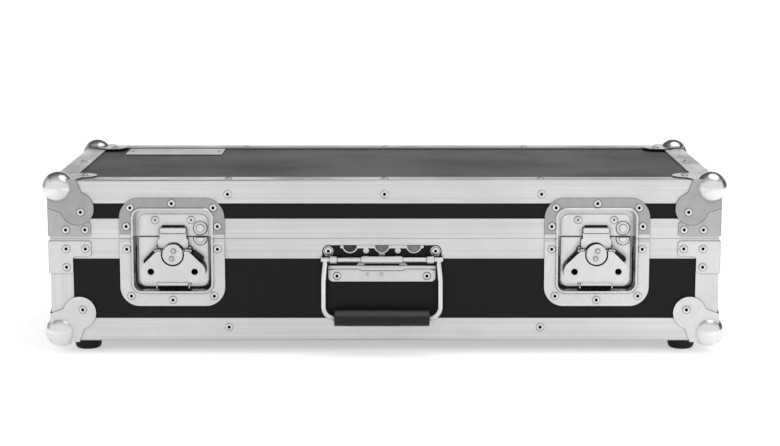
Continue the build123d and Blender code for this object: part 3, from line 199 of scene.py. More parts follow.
def start_effect(name, inputs, outputs):
    """An empty node group, with its inputs' and its outputs' sockets inside it."""
    tree = bpy.data.node_groups.new(name, "ShaderNodeTree")
    for socket, kind, default in inputs:
        made = tree.interface.new_socket(socket, in_out="INPUT", socket_type="NodeSocket" + kind)
        made.default_value = default
    for socket, kind in outputs:
        tree.interface.new_socket(socket, in_out="OUTPUT", socket_type="NodeSocket" + kind)
    return tree, tree.nodes.new("NodeGroupInput").outputs, tree.nodes.new("NodeGroupOutput").inputs


def make_soft_edges():
    """Rounds the look of folded and cut edges, and marks where they are."""
    tree, given, result = start_effect(
        "soft_edges", [("Radius", "Float", 0.0003)], [("Normal", "Vector"), ("Edge", "Float")])
    rounded = add(tree, "Bevel", {"samples": 4}, {"Radius": given["Radius"]}).outputs[0]
    flat = add(tree, "NewGeometry").outputs["Normal"]
    match = add(tree, "VectorMath", {"operation": "DOT_PRODUCT"}, {0: rounded, 1: flat}).outputs["Value"]
    feed(tree, result["Normal"], rounded)
    feed(tree, result["Edge"], remap(tree, match, 0.99, 0.8))


def make_painted_crevice_shade():
    """Painted shade between pieces and down in corners, from ambient occlusion: 0 in the open, 1 deep
    inside.
    """
    tree, given, result = start_effect("settled_shadow", [("Reach", "Float", 0.008)], [("Mask", "Float")])
    wide = add(tree, "AmbientOcclusion", {"samples": 5}, {"Distance": given["Reach"]}).outputs["AO"]
    near = add(tree, "AmbientOcclusion", {"samples": 5},
               {"Distance": times(tree, given["Reach"], 0.17)}).outputs["AO"]
    feed(tree, result["Mask"],
         maths(tree, "MAXIMUM", remap(tree, wide, 0.9, 0.4), remap(tree, near, 0.95, 0.5)))


def make_drawn_lines():
    """Fine lines drawn along an extrusion or a rolled sheet."""
    tree, given, result = start_effect(
        "drawn_lines", [("Vector", "Vector", (0, 0, 0)), ("Stretch", "Vector", (1, 1, 1)),
                        ("Scale", "Float", 1000.0)],
        [("Height", "Float"), ("Tone", "Float")])
    drawn = add(tree, "VectorMath", {"operation": "MULTIPLY"},
                {0: given["Vector"], 1: given["Stretch"]}).outputs[0]
    fine = noise(tree, drawn, given["Scale"], Detail=3.0, Roughness=0.65)
    broad = noise(tree, drawn, times(tree, given["Scale"], 0.18), Detail=2.0)
    feed(tree, result["Height"], fine)
    feed(tree, result["Tone"], remap(tree, maths(tree, "ADD", fine, broad), 0.75, 1.25))


def make_handling():
    """Faint clouds, where hands and dust have dulled a surface."""
    tree, given, result = start_effect(
        "handling", [("Vector", "Vector", (0, 0, 0)), ("Scale", "Float", 12.0)], [("Mask", "Float")])
    clouds = noise(tree, given["Vector"], given["Scale"], Detail=5.0, Roughness=0.6)
    feed(tree, result["Mask"], remap(tree, clouds, 0.38, 0.68))


def make_painted_top_highlight():
    """Painted highlight on a face that looks up: 0 on walls and undersides, 1 on top."""
    tree, given, result = start_effect(
        "settled_dust", [("Start", "Float", 0.2), ("Full", "Float", 0.95)], [("Mask", "Float")])
    facing = add(tree, "NewGeometry").outputs["Normal"]
    feed(tree, result["Mask"], remap(tree, part_of(tree, facing, "Z"), given["Start"], given["Full"]))


def make_pebbles():
    """The fine stipple of moulded laminate and rubber."""
    tree, given, result = start_effect(
        "pebbles", [("Vector", "Vector", (0, 0, 0)), ("Scale", "Float", 1000.0)],
        [("Height", "Float"), ("Tone", "Float")])
    domes = add(tree, "TexVoronoi", {"feature": "SMOOTH_F1"},
                {"Vector": given["Vector"], "Scale": given["Scale"], "Smoothness": 0.4}).outputs[0]
    grit = noise(tree, given["Vector"], times(tree, given["Scale"], 0.7), Detail=2.0)
    feed(tree, result["Height"], maths(tree, "SUBTRACT", grit, times(tree, domes, 0.8)))
    feed(tree, result["Tone"], remap(tree, grit, 0.35, 0.65))


def make_open_cells():
    """Open pores of cut foam, with a mask for the painted shade down in them."""
    tree, given, result = start_effect(
        "open_cells", [("Vector", "Vector", (0, 0, 0)), ("Scale", "Float", 900.0)],
        [("Height", "Float"), ("Pore", "Float")])
    walls = add(tree, "TexVoronoi", {"feature": "DISTANCE_TO_EDGE"},
                {"Vector": given["Vector"], "Scale": given["Scale"]}).outputs[0]
    lumps = noise(tree, given["Vector"], times(tree, given["Scale"], 0.25), Detail=3.0)
    feed(tree, result["Height"], maths(tree, "SUBTRACT", lumps, times(tree, walls, 1.5)))
    feed(tree, result["Pore"], remap(tree, walls, 0.05, 0.4))


EFFECTS = (make_soft_edges, make_painted_crevice_shade, make_drawn_lines, make_handling, make_painted_top_highlight,
           make_pebbles, make_open_cells)


def effect(tree, name, **inputs):
    """The named effect, placed in a material with its own values."""
    made = add(tree, "Group")
    made.node_tree = bpy.data.node_groups[name]
    for key, value in inputs.items():
        feed(tree, made.inputs[key], value)
    return made.outputs


# ------------------------ finishes
# Depths of the drawn lines, the laminate's pebbles, the rubber's grain and the foam's pores.
DRAWN, SATIN, ROLLED, POLISHED, MIRROR = 0.00006, 0.00003, 0.00001, 0.000008, 0.000006
PEBBLE_DEPTH, GRAIN_DEPTH, PORE_DEPTH = 0.00012, 0.00008, 0.0006
# Screen greys of what has no setting of its own; the second is painted shade in grooves and pits, and the
# cups' greys are painted shade, darkest on the left.
PLASTIC, PIT_SHADE, WIRE = 12, 42, 214
CUP_SHADES = (("dark_cup", 70), ("middle_cup", 120), ("light_cup", 140))
# The scale of the drawn lines along each axis: small along an extrusion, even on plated sheet.
ALONG_X, ALONG_Y, ALONG_Z = (0.004, 1.0, 1.0), (1.0, 0.004, 1.0), (1.0, 1.0, 0.004)
CLOUDY = (0.35, 0.35, 0.35)


def start_finish(name):
    """A new material's node tree, its shader and the socket of the object's own coordinates."""
    made = bpy.data.materials.new(name)
    made.use_nodes = True
    tree = made.node_tree
    return tree, tree.nodes["Principled BSDF"], add(tree, "TexCoord").outputs["Object"]


def bump(tree, shader, height, strength, distance, **normal):
    """Raises the finish by the height, up to the distance."""
    feed(tree, shader.inputs["Normal"],
         add(tree, "Bump", None, {"Strength": strength, "Distance": distance, "Height": height,
                                  **normal}).outputs[0])


def shade(tone, factor):
    """The colour, darker below 1 and lighter above it, with full opacity."""
    return tuple(min(1.0, channel * factor) for channel in tone) + (1.0,)


def metal(name, tone, roughness, stretch, line_depth, rounding=1.0, contrast=0.12, crevice_shade=1.0):
    """Plated or anodised metal with drawn lines, dulled where hands touch it, with a painted highlight on
    its edges and painted shade in its gaps and corners.
    """
    tree, shader, place = start_finish(name)
    edges = effect(tree, "soft_edges", Radius=sizes().edge_round * rounding)
    lines = effect(tree, "drawn_lines", Vector=place, Stretch=stretch, Scale=1.0 / sizes().line_pitch)
    dull = effect(tree, "handling", Vector=place, Scale=14.0)["Mask"]
    drawn = blend_colours(tree, lines["Tone"], shade(tone, 1 - contrast), shade(tone, 1 + contrast / 3))
    handled = blend_colours(tree, times(tree, dull, 0.25), drawn, shade(tone, 0.85))
    # Painted highlight: the edges are lightened.
    edge_highlight = blend_colours(tree, times(tree, edges["Edge"], 0.6), handled, shade(tone, 1.12))
    # Painted shade: the colour goes nearly black in gaps and corners.
    crevice_shade_mask = effect(tree, "settled_shadow", Reach=sizes().shadow_reach)["Mask"]
    feed(tree, shader.inputs["Base Color"],
         blend_colours(tree, times(tree, crevice_shade_mask, crevice_shade), edge_highlight, shade(tone, 0.03)))
    shader.inputs["Metallic"].default_value = 1.0
    feed(tree, shader.inputs["Roughness"],
         maths(tree, "ADD", remap(tree, dull, 0, 1, roughness * 0.85, roughness * 1.35),
               remap(tree, lines["Tone"], 0, 1, 0.02, -0.02)))
    bump(tree, shader, lines["Height"], 1.0, line_depth, Normal=edges["Normal"])


def laminate(name, tone):
    """Black laminate with a fine pebbled face."""
    tree, shader, place = start_finish(name)
    pebbles = effect(tree, "pebbles", Vector=place, Scale=1.0 / sizes().stipple_pitch)
    dull = effect(tree, "handling", Vector=place, Scale=7.0)["Mask"]
    specks = blend_colours(tree, pebbles["Tone"], shade(tone, 0.75), shade(tone, 1.3))
    feed(tree, shader.inputs["Base Color"],
         blend_colours(tree, times(tree, dull, 0.3), specks, shade(tone, 1.25)))
    feed(tree, shader.inputs["Roughness"], remap(tree, dull, 0, 1, 0.4, 0.5))
    shader.inputs["Specular IOR Level"].default_value = 0.2
    bump(tree, shader, pebbles["Height"], 0.7, PEBBLE_DEPTH)


def rubber(name, tone, roughness, highlight_full=0.95, highlight_lift=4.0):
    """Moulded rubber with a faint grain, a faint bloom in clouds, and a painted highlight where it faces up.
    """
    tree, shader, place = start_finish(name)
    edges = effect(tree, "soft_edges", Radius=sizes().edge_round * 2)
    grain = effect(tree, "pebbles", Vector=place, Scale=1400.0)
    bloom = effect(tree, "handling", Vector=place, Scale=40.0)["Mask"]
    mottled = blend_colours(tree, times(tree, bloom, 0.5), shade(tone, 0.9), shade(tone, 1.4))
    # Painted highlight: faces that look up are lightened.
    top_highlight = effect(tree, "settled_dust", Start=0.25, Full=highlight_full)["Mask"]
    feed(tree, shader.inputs["Base Color"], blend_colours(tree, top_highlight, mottled, shade(tone, highlight_lift)))
    feed(tree, shader.inputs["Roughness"], remap(tree, bloom, 0, 1, roughness * 0.9, roughness * 1.2))
    shader.inputs["Specular IOR Level"].default_value = 0.3
    bump(tree, shader, grain["Height"], 0.6, GRAIN_DEPTH, Normal=edges["Normal"])


def hollow(name, tone):
    """Painted shade for the dark inside of a hollow rivet and other dark hollows, with a little lint in it.
    """
    tree, shader, place = start_finish(name)
    lint = effect(tree, "handling", Vector=place, Scale=300.0)["Mask"]
    feed(tree, shader.inputs["Base Color"],
         blend_colours(tree, times(tree, lint, 0.5), shade(tone, 0.4), shade(tone, 1.5)))
    shader.inputs["Roughness"].default_value = 1.0
    shader.inputs["Specular IOR Level"].default_value = 0.0


def foam(name, tone):
    """Cut open-cell foam, with painted shade down in its pores."""
    tree, shader, place = start_finish(name)
    cells = effect(tree, "open_cells", Vector=place, Scale=1.0 / sizes().foam_cell)
    clouds = effect(tree, "handling", Vector=place, Scale=18.0)["Mask"]
    worn = blend_colours(tree, times(tree, clouds, 0.4), shade(tone, 1.0), shade(tone, 1.3))
    # Painted shade: the pores are darkened.
    feed(tree, shader.inputs["Base Color"], blend_colours(tree, cells["Pore"], worn, shade(tone, 0.35)))
    shader.inputs["Roughness"].default_value = 0.95
    shader.inputs["Sheen Weight"].default_value = 0.15
    bump(tree, shader, cells["Height"], 1.0, PORE_DEPTH)


def make_finishes():
    tone = colours()
    laminate("black_laminate", tone.laminate)
    for way, stretch in (("x", ALONG_X), ("y", ALONG_Y), ("z", ALONG_Z)):
        metal("aluminium_along_" + way, tone.aluminium, 0.34, stretch, DRAWN, 0.5, crevice_shade=0.6)
    metal("nickel_plate", tone.nickel, 0.2, CLOUDY, MIRROR, 1.5, 0.04)
    metal("zinc_plate", tone.zinc, 0.22, CLOUDY, ROLLED, 1.2, 0.06)
    metal("rim_zinc", tone.zinc, 0.22, CLOUDY, ROLLED, 1.2, 0.06, 0.4)
    metal("dull_zinc", tone.dull_zinc, 0.22, CLOUDY, ROLLED, 1.2, 0.08)
    metal("brace_zinc", tone.brace, 0.22, CLOUDY, ROLLED, 1.2, 0.08)
    metal("bright_zinc", tone.zinc, 0.16, CLOUDY, POLISHED, 1.2, 0.05)
    metal("rivet_metal", tone.rivet, 0.2, CLOUDY, ROLLED, 0.6, 0.04, 0.25)
    metal("satin_plate", tone.aluminium, 0.3, ALONG_X, SATIN)
    hollow("rivet_hollow", tone.shadow)
    rubber("black_plastic", grey(PLASTIC), 0.5)
    metal("stained_steel", grey(PIT_SHADE), 0.35, CLOUDY, ROLLED, 1.0, 0.3)
    metal("bright_wire", grey(WIRE), 0.12, CLOUDY, MIRROR, 1.0, 0.04)
    for name, level in CUP_SHADES:
        metal(name, grey(level), 0.3, CLOUDY, ROLLED, 1.0, 0.3)
    rubber("sleeve_rubber", tone.rubber, 0.38, 0.62, 8.5)
    rubber("tread_rubber", tone.foot, 0.6)
    foam("charcoal_foam", tone.foam)


def finish_node(material, *names):
    """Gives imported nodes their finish."""
    for name in names:
        mesh = NODES[name].data
        mesh.materials.clear()
        mesh.materials.append(bpy.data.materials[material])


# ------------------------ modelling
def deselect_all():
    if bpy.context.object and bpy.context.object.mode != "OBJECT":
        bpy.ops.object.mode_set(mode="OBJECT")
    bpy.ops.object.select_all(action="DESELECT")


def start_piece(name, kind, **settings):
    """A primitive at its size and place, open in edit mode, with its object at the origin."""
    deselect_all()
    getattr(bpy.ops.mesh, f"primitive_{kind}_add")(**settings)
    bpy.ops.object.transform_apply(location=True, rotation=True, scale=True)
    piece = bpy.context.object
    piece.name = name
    bpy.ops.object.mode_set(mode="EDIT")
    return piece


def pick(test, kind="faces"):
    """Selects, in edit mode, only the faces or the edges that pass the test."""
    bpy.ops.mesh.select_mode(type="FACE" if kind == "faces" else "EDGE")
    bpy.ops.mesh.select_all(action="DESELECT")
    mesh = bpy.context.object.data
    shape = bmesh.from_edit_mesh(mesh)
    for part in getattr(shape, kind):
        if test(part):
            part.select_set(True)
    bmesh.update_edit_mesh(mesh)


def extrude_by(x, y, z):
    bpy.ops.mesh.extrude_region_move(TRANSFORM_OT_translate={"value": (x, y, z)})


def step_in(width, *move):
    """Insets the picked faces by the width, and moves what lies inside."""
    bpy.ops.mesh.inset(thickness=width)
    bpy.ops.transform.translate(value=move)


def looks_front(face):
    return face.normal.y < -0.9


def runs_back(edge):
    return abs(edge.verts[0].co.y - edge.verts[1].co.y) > 0.3 * MM


def start_disc(name, sides, radius, depth):
    """A disc that stands on the floor, open in edit mode with its top picked."""
    disc = start_piece(name, "cylinder", vertices=sides, radius=radius, depth=depth,
                       location=(0, 0, depth / 2))
    pick(lambda face: face.normal.z > 0.9)
    return disc


def start_block(name, size, rounding, segments, rounded=runs_back):
    """A block of a size in millimetres, open in edit mode, with the edges that pass the test rounded."""
    block = start_piece(name, "cube", size=1.0)
    bpy.ops.transform.resize(value=[side * MM for side in size])
    pick(rounded, "edges")
    bpy.ops.mesh.bevel(offset=rounding, segments=segments, affect="EDGES")
    return block


def close_edit(piece, *finishes, smooth=40):
    """Back to object mode, with the piece's finishes, and smooth below an angle in degrees."""
    bpy.ops.object.mode_set(mode="OBJECT")
    for finish in finishes:
        piece.data.materials.append(bpy.data.materials[finish])
    bpy.ops.object.shade_smooth_by_angle(angle=radians(smooth))


def turn_second(piece, test):
    """Gives the piece's second finish to the faces that pass the test."""
    for face in piece.data.polygons:
        if test(face):
            face.material_index = 1


def off_axis(face):
    return hypot(face.center.x, face.center.y)


def change(piece, kind, **settings):
    """Adds a modifier with its settings and applies it."""
    bpy.ops.object.modifier_add(type=kind)
    modifier = piece.modifiers[-1]
    for key, value in settings.items():
        setattr(modifier, key, value)
    bpy.ops.object.modifier_apply(modifier=modifier.name)


def roughen(piece, name, scale, strength, mid_level):
    """Makes a soft surface uneven, with clouds of the given scale."""
    clouds = bpy.data.textures.new(name, "CLOUDS")
    clouds.noise_scale = scale
    change(piece, "DISPLACE", texture=clouds, texture_coords="LOCAL", strength=strength, mid_level=mid_level)


def copy_in(source):
    """A copy of an object, selected and active."""
    copy = source.copy()
    copy.data = source.data.copy()
    bpy.context.scene.collection.objects.link(copy)
    copy.select_set(True)
    bpy.context.view_layer.objects.active = copy
    return copy


def weld(piece):
    """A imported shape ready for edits: its own finish and normals gone and its faces joined."""
    piece.data.materials.clear()
    bpy.ops.object.mode_set(mode="EDIT")
    bpy.ops.mesh.select_all(action="SELECT")
    bpy.ops.mesh.customdata_custom_splitnormals_clear()
    bpy.ops.mesh.remove_doubles(threshold=WELD)


def place_copies(name, model, places):
    """The model copied to each place, a matrix, and joined to one piece; the model itself is removed."""
    deselect_all()
    for place in places:
        copy_in(model).data.transform(place)
    bpy.ops.object.join()
    piece = bpy.context.object
    piece.name = name
    bpy.data.objects.remove(model)
    return piece


def smooth_copy(name, node, body, slot, *finishes):
    """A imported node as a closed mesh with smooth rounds, shown in its place."""
    deselect_all()
    piece = copy_in(NODES[node])
    piece.name = name
    weld(piece)
    close_edit(piece, *finishes, smooth=35)
    settle(piece, body, slot, node)
    return piece


def settle(piece, body, slot, *nodes):
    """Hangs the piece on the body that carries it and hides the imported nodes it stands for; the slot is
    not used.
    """
    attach(piece, body)
    if nodes:
        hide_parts(*nodes)


def separate_boxes(node):
    """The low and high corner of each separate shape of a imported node."""
    shape = bmesh.new()
    shape.from_mesh(NODES[node].data)
    bmesh.ops.remove_doubles(shape, verts=shape.verts, dist=NEAR)
    left, boxes = set(shape.verts), []
    while left:
        reach, island = [left.pop()], []
        while reach:
            vertex = reach.pop()
            island.append(vertex.co.copy())
            for edge in vertex.link_edges:
                other = edge.other_vert(vertex)
                if other in left:
                    left.discard(other)
                    reach.append(other)
        boxes.append([Vector(pick_end(point[axis] for point in island) for axis in range(3))
                      for pick_end in (min, max)])
    shape.free()
    return boxes


# ------------------------ rivets
SHELL_LOW, SHELL_HIGH = Vector((-345.0, -146.25, 14.0)) * MM, Vector((345.0, 153.75, 182.0)) * MM
FRONT_FACE = SHELL_LOW.y
# The keepers' rivets: behind the shell's face, below the top edge, and this wide in millimetres or more.
DISH_FLOOR, TOP_EDGE, KEEPER_RIVET = 5 * MM, 8 * MM, 6
CASE_CENTRE = [(low + high) / 2 for low, high in zip(*CAD_BOX)]
# Each step of a head's dome: its width as a share of the radius, its climb as a share of the rise.
HOLLOW_DOME = ((0.2, 0.36), (0.18, 0.17), (0.18, 0.05))
SOLID_DOME = ((0.2, 0.4), (0.25, 0.18), (0.25, 0.02))
HOLLOW_DEPTH, HOLLOW_REACH, HOLLOW_TOP = 0.8, 0.441, 0.89
# The setting tool's mark, as shares of the head: its inset, its depth, and how far out its painted shade
# reaches.
MARK_STEP, MARK_DEPTH, MARK_REACH = 0.04, 0.2, 0.2


def start_head(name, sides, radius, rise, dome):
    """A round head facing up, open in edit mode with the top of its dome picked."""
    head = start_disc(name, sides, radius, 0.4 * rise)
    for step, climb in dome:
        step_in(step * radius, 0, 0, climb * rise)
    return head


def rivet_model(radius, rise):
    """A blind rivet's head, facing up: a low dome round an open hollow, with painted shade inside."""
    rivet = start_head("rivet", 14, radius, rise, HOLLOW_DOME)
    extrude_by(0, 0, -HOLLOW_DEPTH * rise)
    close_edit(rivet, "rivet_metal", "rivet_hollow", smooth=62)
    turn_second(rivet, lambda face: off_axis(face) < HOLLOW_REACH * radius
                and face.center.z < HOLLOW_TOP * rise)
    return rivet


def solid_rivet_model(radius, rise):
    """A solid rivet's low domed head, facing up, with the small mark of its setting tool darkened as painted
    shade.
    """
    rivet = start_head("solid_rivet", 20, radius, rise, SOLID_DOME)
    step_in(MARK_STEP * radius, 0, 0, -MARK_DEPTH * rise)
    close_edit(rivet, "bright_zinc", "stained_steel", smooth=50)
    turn_second(rivet, lambda face: off_axis(face) < MARK_REACH * radius)
    return rivet


def rivet_places(boxes):
    """Where each head stands and which way it faces."""
    for low, high in boxes:
        span, middle = high - low, (low + high) / 2
        axis = min(range(3), key=lambda index: span[index])
        facing = Vector((0, 0, 0))
        facing[axis] = 1 if middle[axis] > CASE_CENTRE[axis] else -1
        seat = middle.copy()
        seat[axis] -= facing[axis] * span[axis] / 2
        yield Matrix.Translation(seat) @ facing.to_track_quat("Z", "Y").to_matrix().to_4x4()


def set_rivets(part):
    """Every rivet head of the lid or the base: each size from its own model, solid ones on the keepers."""
    groups = {}
    for low, high in separate_boxes(part + "_rivets"):
        width = round(max(high - low) / MM)
        on_keeper = (FRONT_FACE + DISH_FLOOR < low.y and high.y < CASE_CENTRE[1]
                     and high.z <= SHELL_HIGH.z - TOP_EDGE and width >= KEEPER_RIVET)
        groups.setdefault(("solid" if on_keeper else "hollow", width), []).append((low, high))
    for (kind, width), boxes in sorted(groups.items()):
        span = boxes[0][1] - boxes[0][0]
        model = (solid_rivet_model if kind == "solid" else rivet_model)(max(span) / 2, min(span))
        heads = place_copies(f"{part}_rivets_{kind}_{width}", model, rivet_places(boxes))
        settle(heads, part, "rivet")
    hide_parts(part + "_rivets")


# ------------------------ ball corners
BALL_RADIUS, BALL_INSET = 16.8 * MM, 9.0 * MM
BALL_WITHIN, BALL_BEYOND = BALL_RADIUS - 0.7 * MM, BALL_RADIUS + 0.05 * MM


def plate_corners(part, petal_finish):
    """The pressed corners: polished balls on plated petals."""
    corners = smooth_copy(part + "_pressed_corners", part + "_ball_corners", part, "corner",
                          "nickel_plate", petal_finish)

    def off_ball(face):
        ball = Vector(SHELL_LOW[axis] + BALL_INSET if face.center[axis] < CASE_CENTRE[axis]
                      else SHELL_HIGH[axis] - BALL_INSET for axis in range(3))
        furthest = max((corners.data.vertices[v].co - ball).length for v in face.vertices)
        return (face.center - ball).length < BALL_WITHIN or furthest > BALL_BEYOND

    turn_second(corners, off_ball)


# ------------------------ latches
LATCH_REACH, ROTOR_AXIS = 218.6 * MM, 104.2 * MM
SHEET, FLANGE_WITHIN = 1.2 * MM, 0.1 * MM
# The turning disc's studs: radius, way from the axis, turn, depth behind the shell's face.
STUD_RADIUS, STUD_THROW, STUD_TURN, STUD_DEPTH = 2.9 * MM, 4.1 * MM, radians(14), 0.62 * MM
# Where a stud's ring groove gets painted shade: inner and outer radius, and top.
STUD_RING = (1.55 * MM, 2.45 * MM, 0.28 * MM)
# The painted shadow in the keeper's slot and the ends of the wing's lip: size in millimetres, depth and
# height.
SLOT_SHADOW_SIZE, SLOT_SHADOW_DEPTH, SLOT_SHADOW_HEIGHT = (23.6, 0.5, 1.3), 12.5 * MM, 132.6 * MM
TICK_SIZE, TICK_DEPTH, TICK_HEIGHT = (1.5, 2.6, 5.4), 2.6 * MM, 71.6 * MM
TICK_REACH = 16.6 * MM
# The black pads, in millimetres and degrees: size, rounding, the step round the face, the place from the
# rotor's axis and the shell's face, the shift outward and the turn. The second is a thin dark strip as
# painted shadow along the wing's edge.
PADS = {"buffer": ((14.0, 7.5, 5.6), 1.6, (0.5, 0.4), (24.6, 9.8, -3.4), 0.0, 38),
        "rest": ((15.5, 3.0, 3.4), 1.2, (0.4, 0.3), (-24.1, 11.2, -4.2), 1.1, -47)}
# The dark wells, painted shade behind the wing's padlock holes: way from the middle, outward shift, depth,
# drop.
WELL_RADIUS, WELL_REACH, WELL_SHIFT, WELL_DEPTH, WELL_DROP = (
    3.7 * MM, 22.6 * MM, 1.4 * MM, 12.65 * MM, 18.7 * MM)


def plate_upper_dish(side):
    """The lid's half of a dish: a flange darkened as painted shade, round a rim and walls with weaker
    painted crevice shade.
    """
    dish = smooth_copy("latch_pressed_dish_" + side, "latch_dish_upper_" + side, "lid", "dish",
                       "rim_zinc", "dull_zinc")
    turn_second(dish, lambda face: face.normal.y < -0.99
                and abs(face.center.y - FRONT_FACE + SHEET) < FLANGE_WITHIN)


def stud_model():
    """The end of a riveted stud in the turning disc, facing up, in its pressed ring, darkened as painted
    shade.
    """
    stud = start_disc("stud", 24, STUD_RADIUS, 0.3 * MM)
    bpy.ops.mesh.inset(thickness=0.4 * MM)
    extrude_by(0, 0, -0.25 * MM)
    bpy.ops.mesh.inset(thickness=1.0 * MM)
    extrude_by(0, 0, 0.85 * MM)
    step_in(0.4 * MM, 0, 0, 0.15 * MM)
    close_edit(stud, "bright_zinc", "stained_steel", smooth=50)
    inner, outer, top = STUD_RING
    turn_second(stud, lambda face: inner < off_axis(face) < outer and face.center.z < top)
    return stud


def facing_front(x, depth, z):
    """A place on the front, x from the middle, depth behind the shell's face and z above the floor."""
    return Matrix.Translation((x, FRONT_FACE + depth, z)) @ Matrix.Rotation(pi / 2, 4, "X")


def set_disc_studs(side, middle):
    throw = Vector((sin(STUD_TURN), 0, cos(STUD_TURN))) * STUD_THROW
    places = [facing_front(middle + way * throw.x, STUD_DEPTH, ROTOR_AXIS + way * throw.z)
              for way in (1, -1)]
    settle(place_copies("latch_disc_studs_" + side, stud_model(), places), "latch_rotor_" + side, "dish")


def set_keeper_slot_shadow(side, middle):
    """A dark block as painted shadow in the keeper's slot, just above the hook's lip."""
    slot = start_block("latch_keeper_slot_" + side, SLOT_SHADOW_SIZE, 0.5 * MM, 3)
    close_edit(slot, "rivet_hollow")
    slot.data.transform(Matrix.Translation((middle, FRONT_FACE + SLOT_SHADOW_DEPTH, SLOT_SHADOW_HEIGHT)))
    settle(slot, "lid", "dish")


def set_lip_ticks(side, middle):
    """The bent ends of the wing's finger lip."""
    tick = start_block("lip_tick", TICK_SIZE, 0.5 * MM, 3, lambda edge: edge.calc_length() > 2 * MM)
    close_edit(tick, "bright_wire")
    places = [Matrix.Translation((middle + way * TICK_REACH, FRONT_FACE + TICK_DEPTH, TICK_HEIGHT))
              for way in (1, -1)]
    settle(place_copies("latch_lip_ticks_" + side, tick, places), "latch_wing_" + side, "dish")


def outward(middle, shift):
    return shift if middle > 0 else -shift


def set_pads(side, middle):
    """The pad beside the wing's shoulder, and a thin dark one under the edge of the other shoulder as
    painted shadow.
    """
    for name, (size, rounding, (rim, step), (x, depth, z), shift, turn) in PADS.items():
        pad = start_block(f"latch_{name}_{side}", size, rounding * MM, 4)
        pick(looks_front)
        step_in(rim * MM, 0, -step * MM, 0)
        close_edit(pad, "black_plastic", smooth=50)
        place = (middle + x * MM + outward(middle, shift * MM), FRONT_FACE + depth * MM, ROTOR_AXIS + z * MM)
        pad.data.transform(Matrix.Translation(place) @ Matrix.Rotation(radians(turn), 4, "Y"))
        settle(pad, "base", "dish")


def sink_shackle_well_shades(side, middle):
    """Dark wells in the base plate as painted shade behind the wing's padlock holes."""
    well = start_disc("shackle_well", 28, WELL_RADIUS, 0.4 * MM)
    bpy.ops.mesh.inset(thickness=0.5 * MM)
    extrude_by(0, 0, -0.3 * MM)
    step_in(1.2 * MM, 0, 0, -0.05 * MM)
    close_edit(well, "rivet_hollow", smooth=50)
    places = [facing_front(middle + way * WELL_REACH + outward(middle, WELL_SHIFT), WELL_DEPTH,
                           ROTOR_AXIS - WELL_DROP) for way in (1, -1)]
    settle(place_copies("latch_shackle_wells_" + side, well, places), "base", "dish")


# ------------------------ handle
HANDLE_X, HANDLE_AXIS = -2.7 * MM, Vector((-2.7, -149.85, 99.85)) * MM
BAIL_REACH, BAIL_TOP_REACH, BAIL_DROP, BAIL_BEND = 60.25 * MM, 58.4 * MM, 60.5 * MM, 12.0 * MM
BAR_LENGTH, WIRE_RADIUS, TUBE_RADIUS = 126.0 * MM, 2.75 * MM, 4.1 * MM
# The legs' lean, step by step: a share of it, and how far the leg falls meanwhile.
LEG_LEAN = ((0.2, 5.0 * MM), (0.35, 5.0 * MM), (0.3, 6.0 * MM), (0.15, 6.0 * MM))
LEAN_FALL = 22.0 * MM
# The sleeve's ends: two rings, how far the inner one sinks, and the rounding.
GRIP_RIM, GRIP_FACE, GRIP_SINK, GRIP_ROUND = 1.1 * MM, 2.6 * MM, 3.0 * MM, 0.8 * MM


def hang(piece, tilt):
    """From the handle's own place, with its axis through the origin, to where it hangs on the case."""
    piece.data.transform(Matrix.Translation(HANDLE_AXIS) @ Matrix.Rotation(-tilt, 4, "X"))


def bend_bail(tilt):
    """The wire bail: legs that lean out below a straight bar, bent in to the grip."""
    leg = start_piece("handle_wire", "circle", vertices=20, radius=WIRE_RADIUS, fill_type="NGON",
                      location=(BAIL_TOP_REACH, 0, 0))
    lean = BAIL_REACH - BAIL_TOP_REACH
    for share, fall in LEG_LEAN:
        extrude_by(share * lean, 0, -fall)
    extrude_by(0, 0, LEAN_FALL - BAIL_DROP + BAIL_BEND)
    bpy.ops.mesh.spin(steps=10, angle=-pi / 2, axis=(0, 1, 0),
                      center=(BAIL_REACH - BAIL_BEND, 0, BAIL_BEND - BAIL_DROP))
    extrude_by(BAIL_BEND - BAIL_REACH, 0, 0)
    bpy.ops.object.mode_set(mode="OBJECT")
    change(leg, "MIRROR")
    start_piece("handle_bar", "cylinder", vertices=20, radius=WIRE_RADIUS, depth=BAR_LENGTH,
                rotation=(0, pi / 2, 0))
    pick(lambda edge: edge.calc_length() < 1.2 * MM, "edges")
    bpy.ops.mesh.bevel(offset=0.9 * MM, segments=3, affect="EDGES")
    bpy.ops.object.mode_set(mode="OBJECT")
    leg.select_set(True)
    bpy.context.view_layer.objects.active = leg
    bpy.ops.object.join()
    bpy.ops.object.mode_set(mode="EDIT")
    bpy.ops.mesh.select_mode(type="EDGE")
    bpy.ops.mesh.select_all(action="DESELECT")
    bpy.ops.mesh.select_non_manifold()
    bpy.ops.mesh.edge_face_add()
    bpy.ops.mesh.select_all(action="SELECT")
    bpy.ops.mesh.normals_make_consistent(inside=False)
    close_edit(leg, "bright_wire", smooth=50)
    hang(leg, tilt)
    settle(leg, "handle", "handle_metal", "handle_bail")


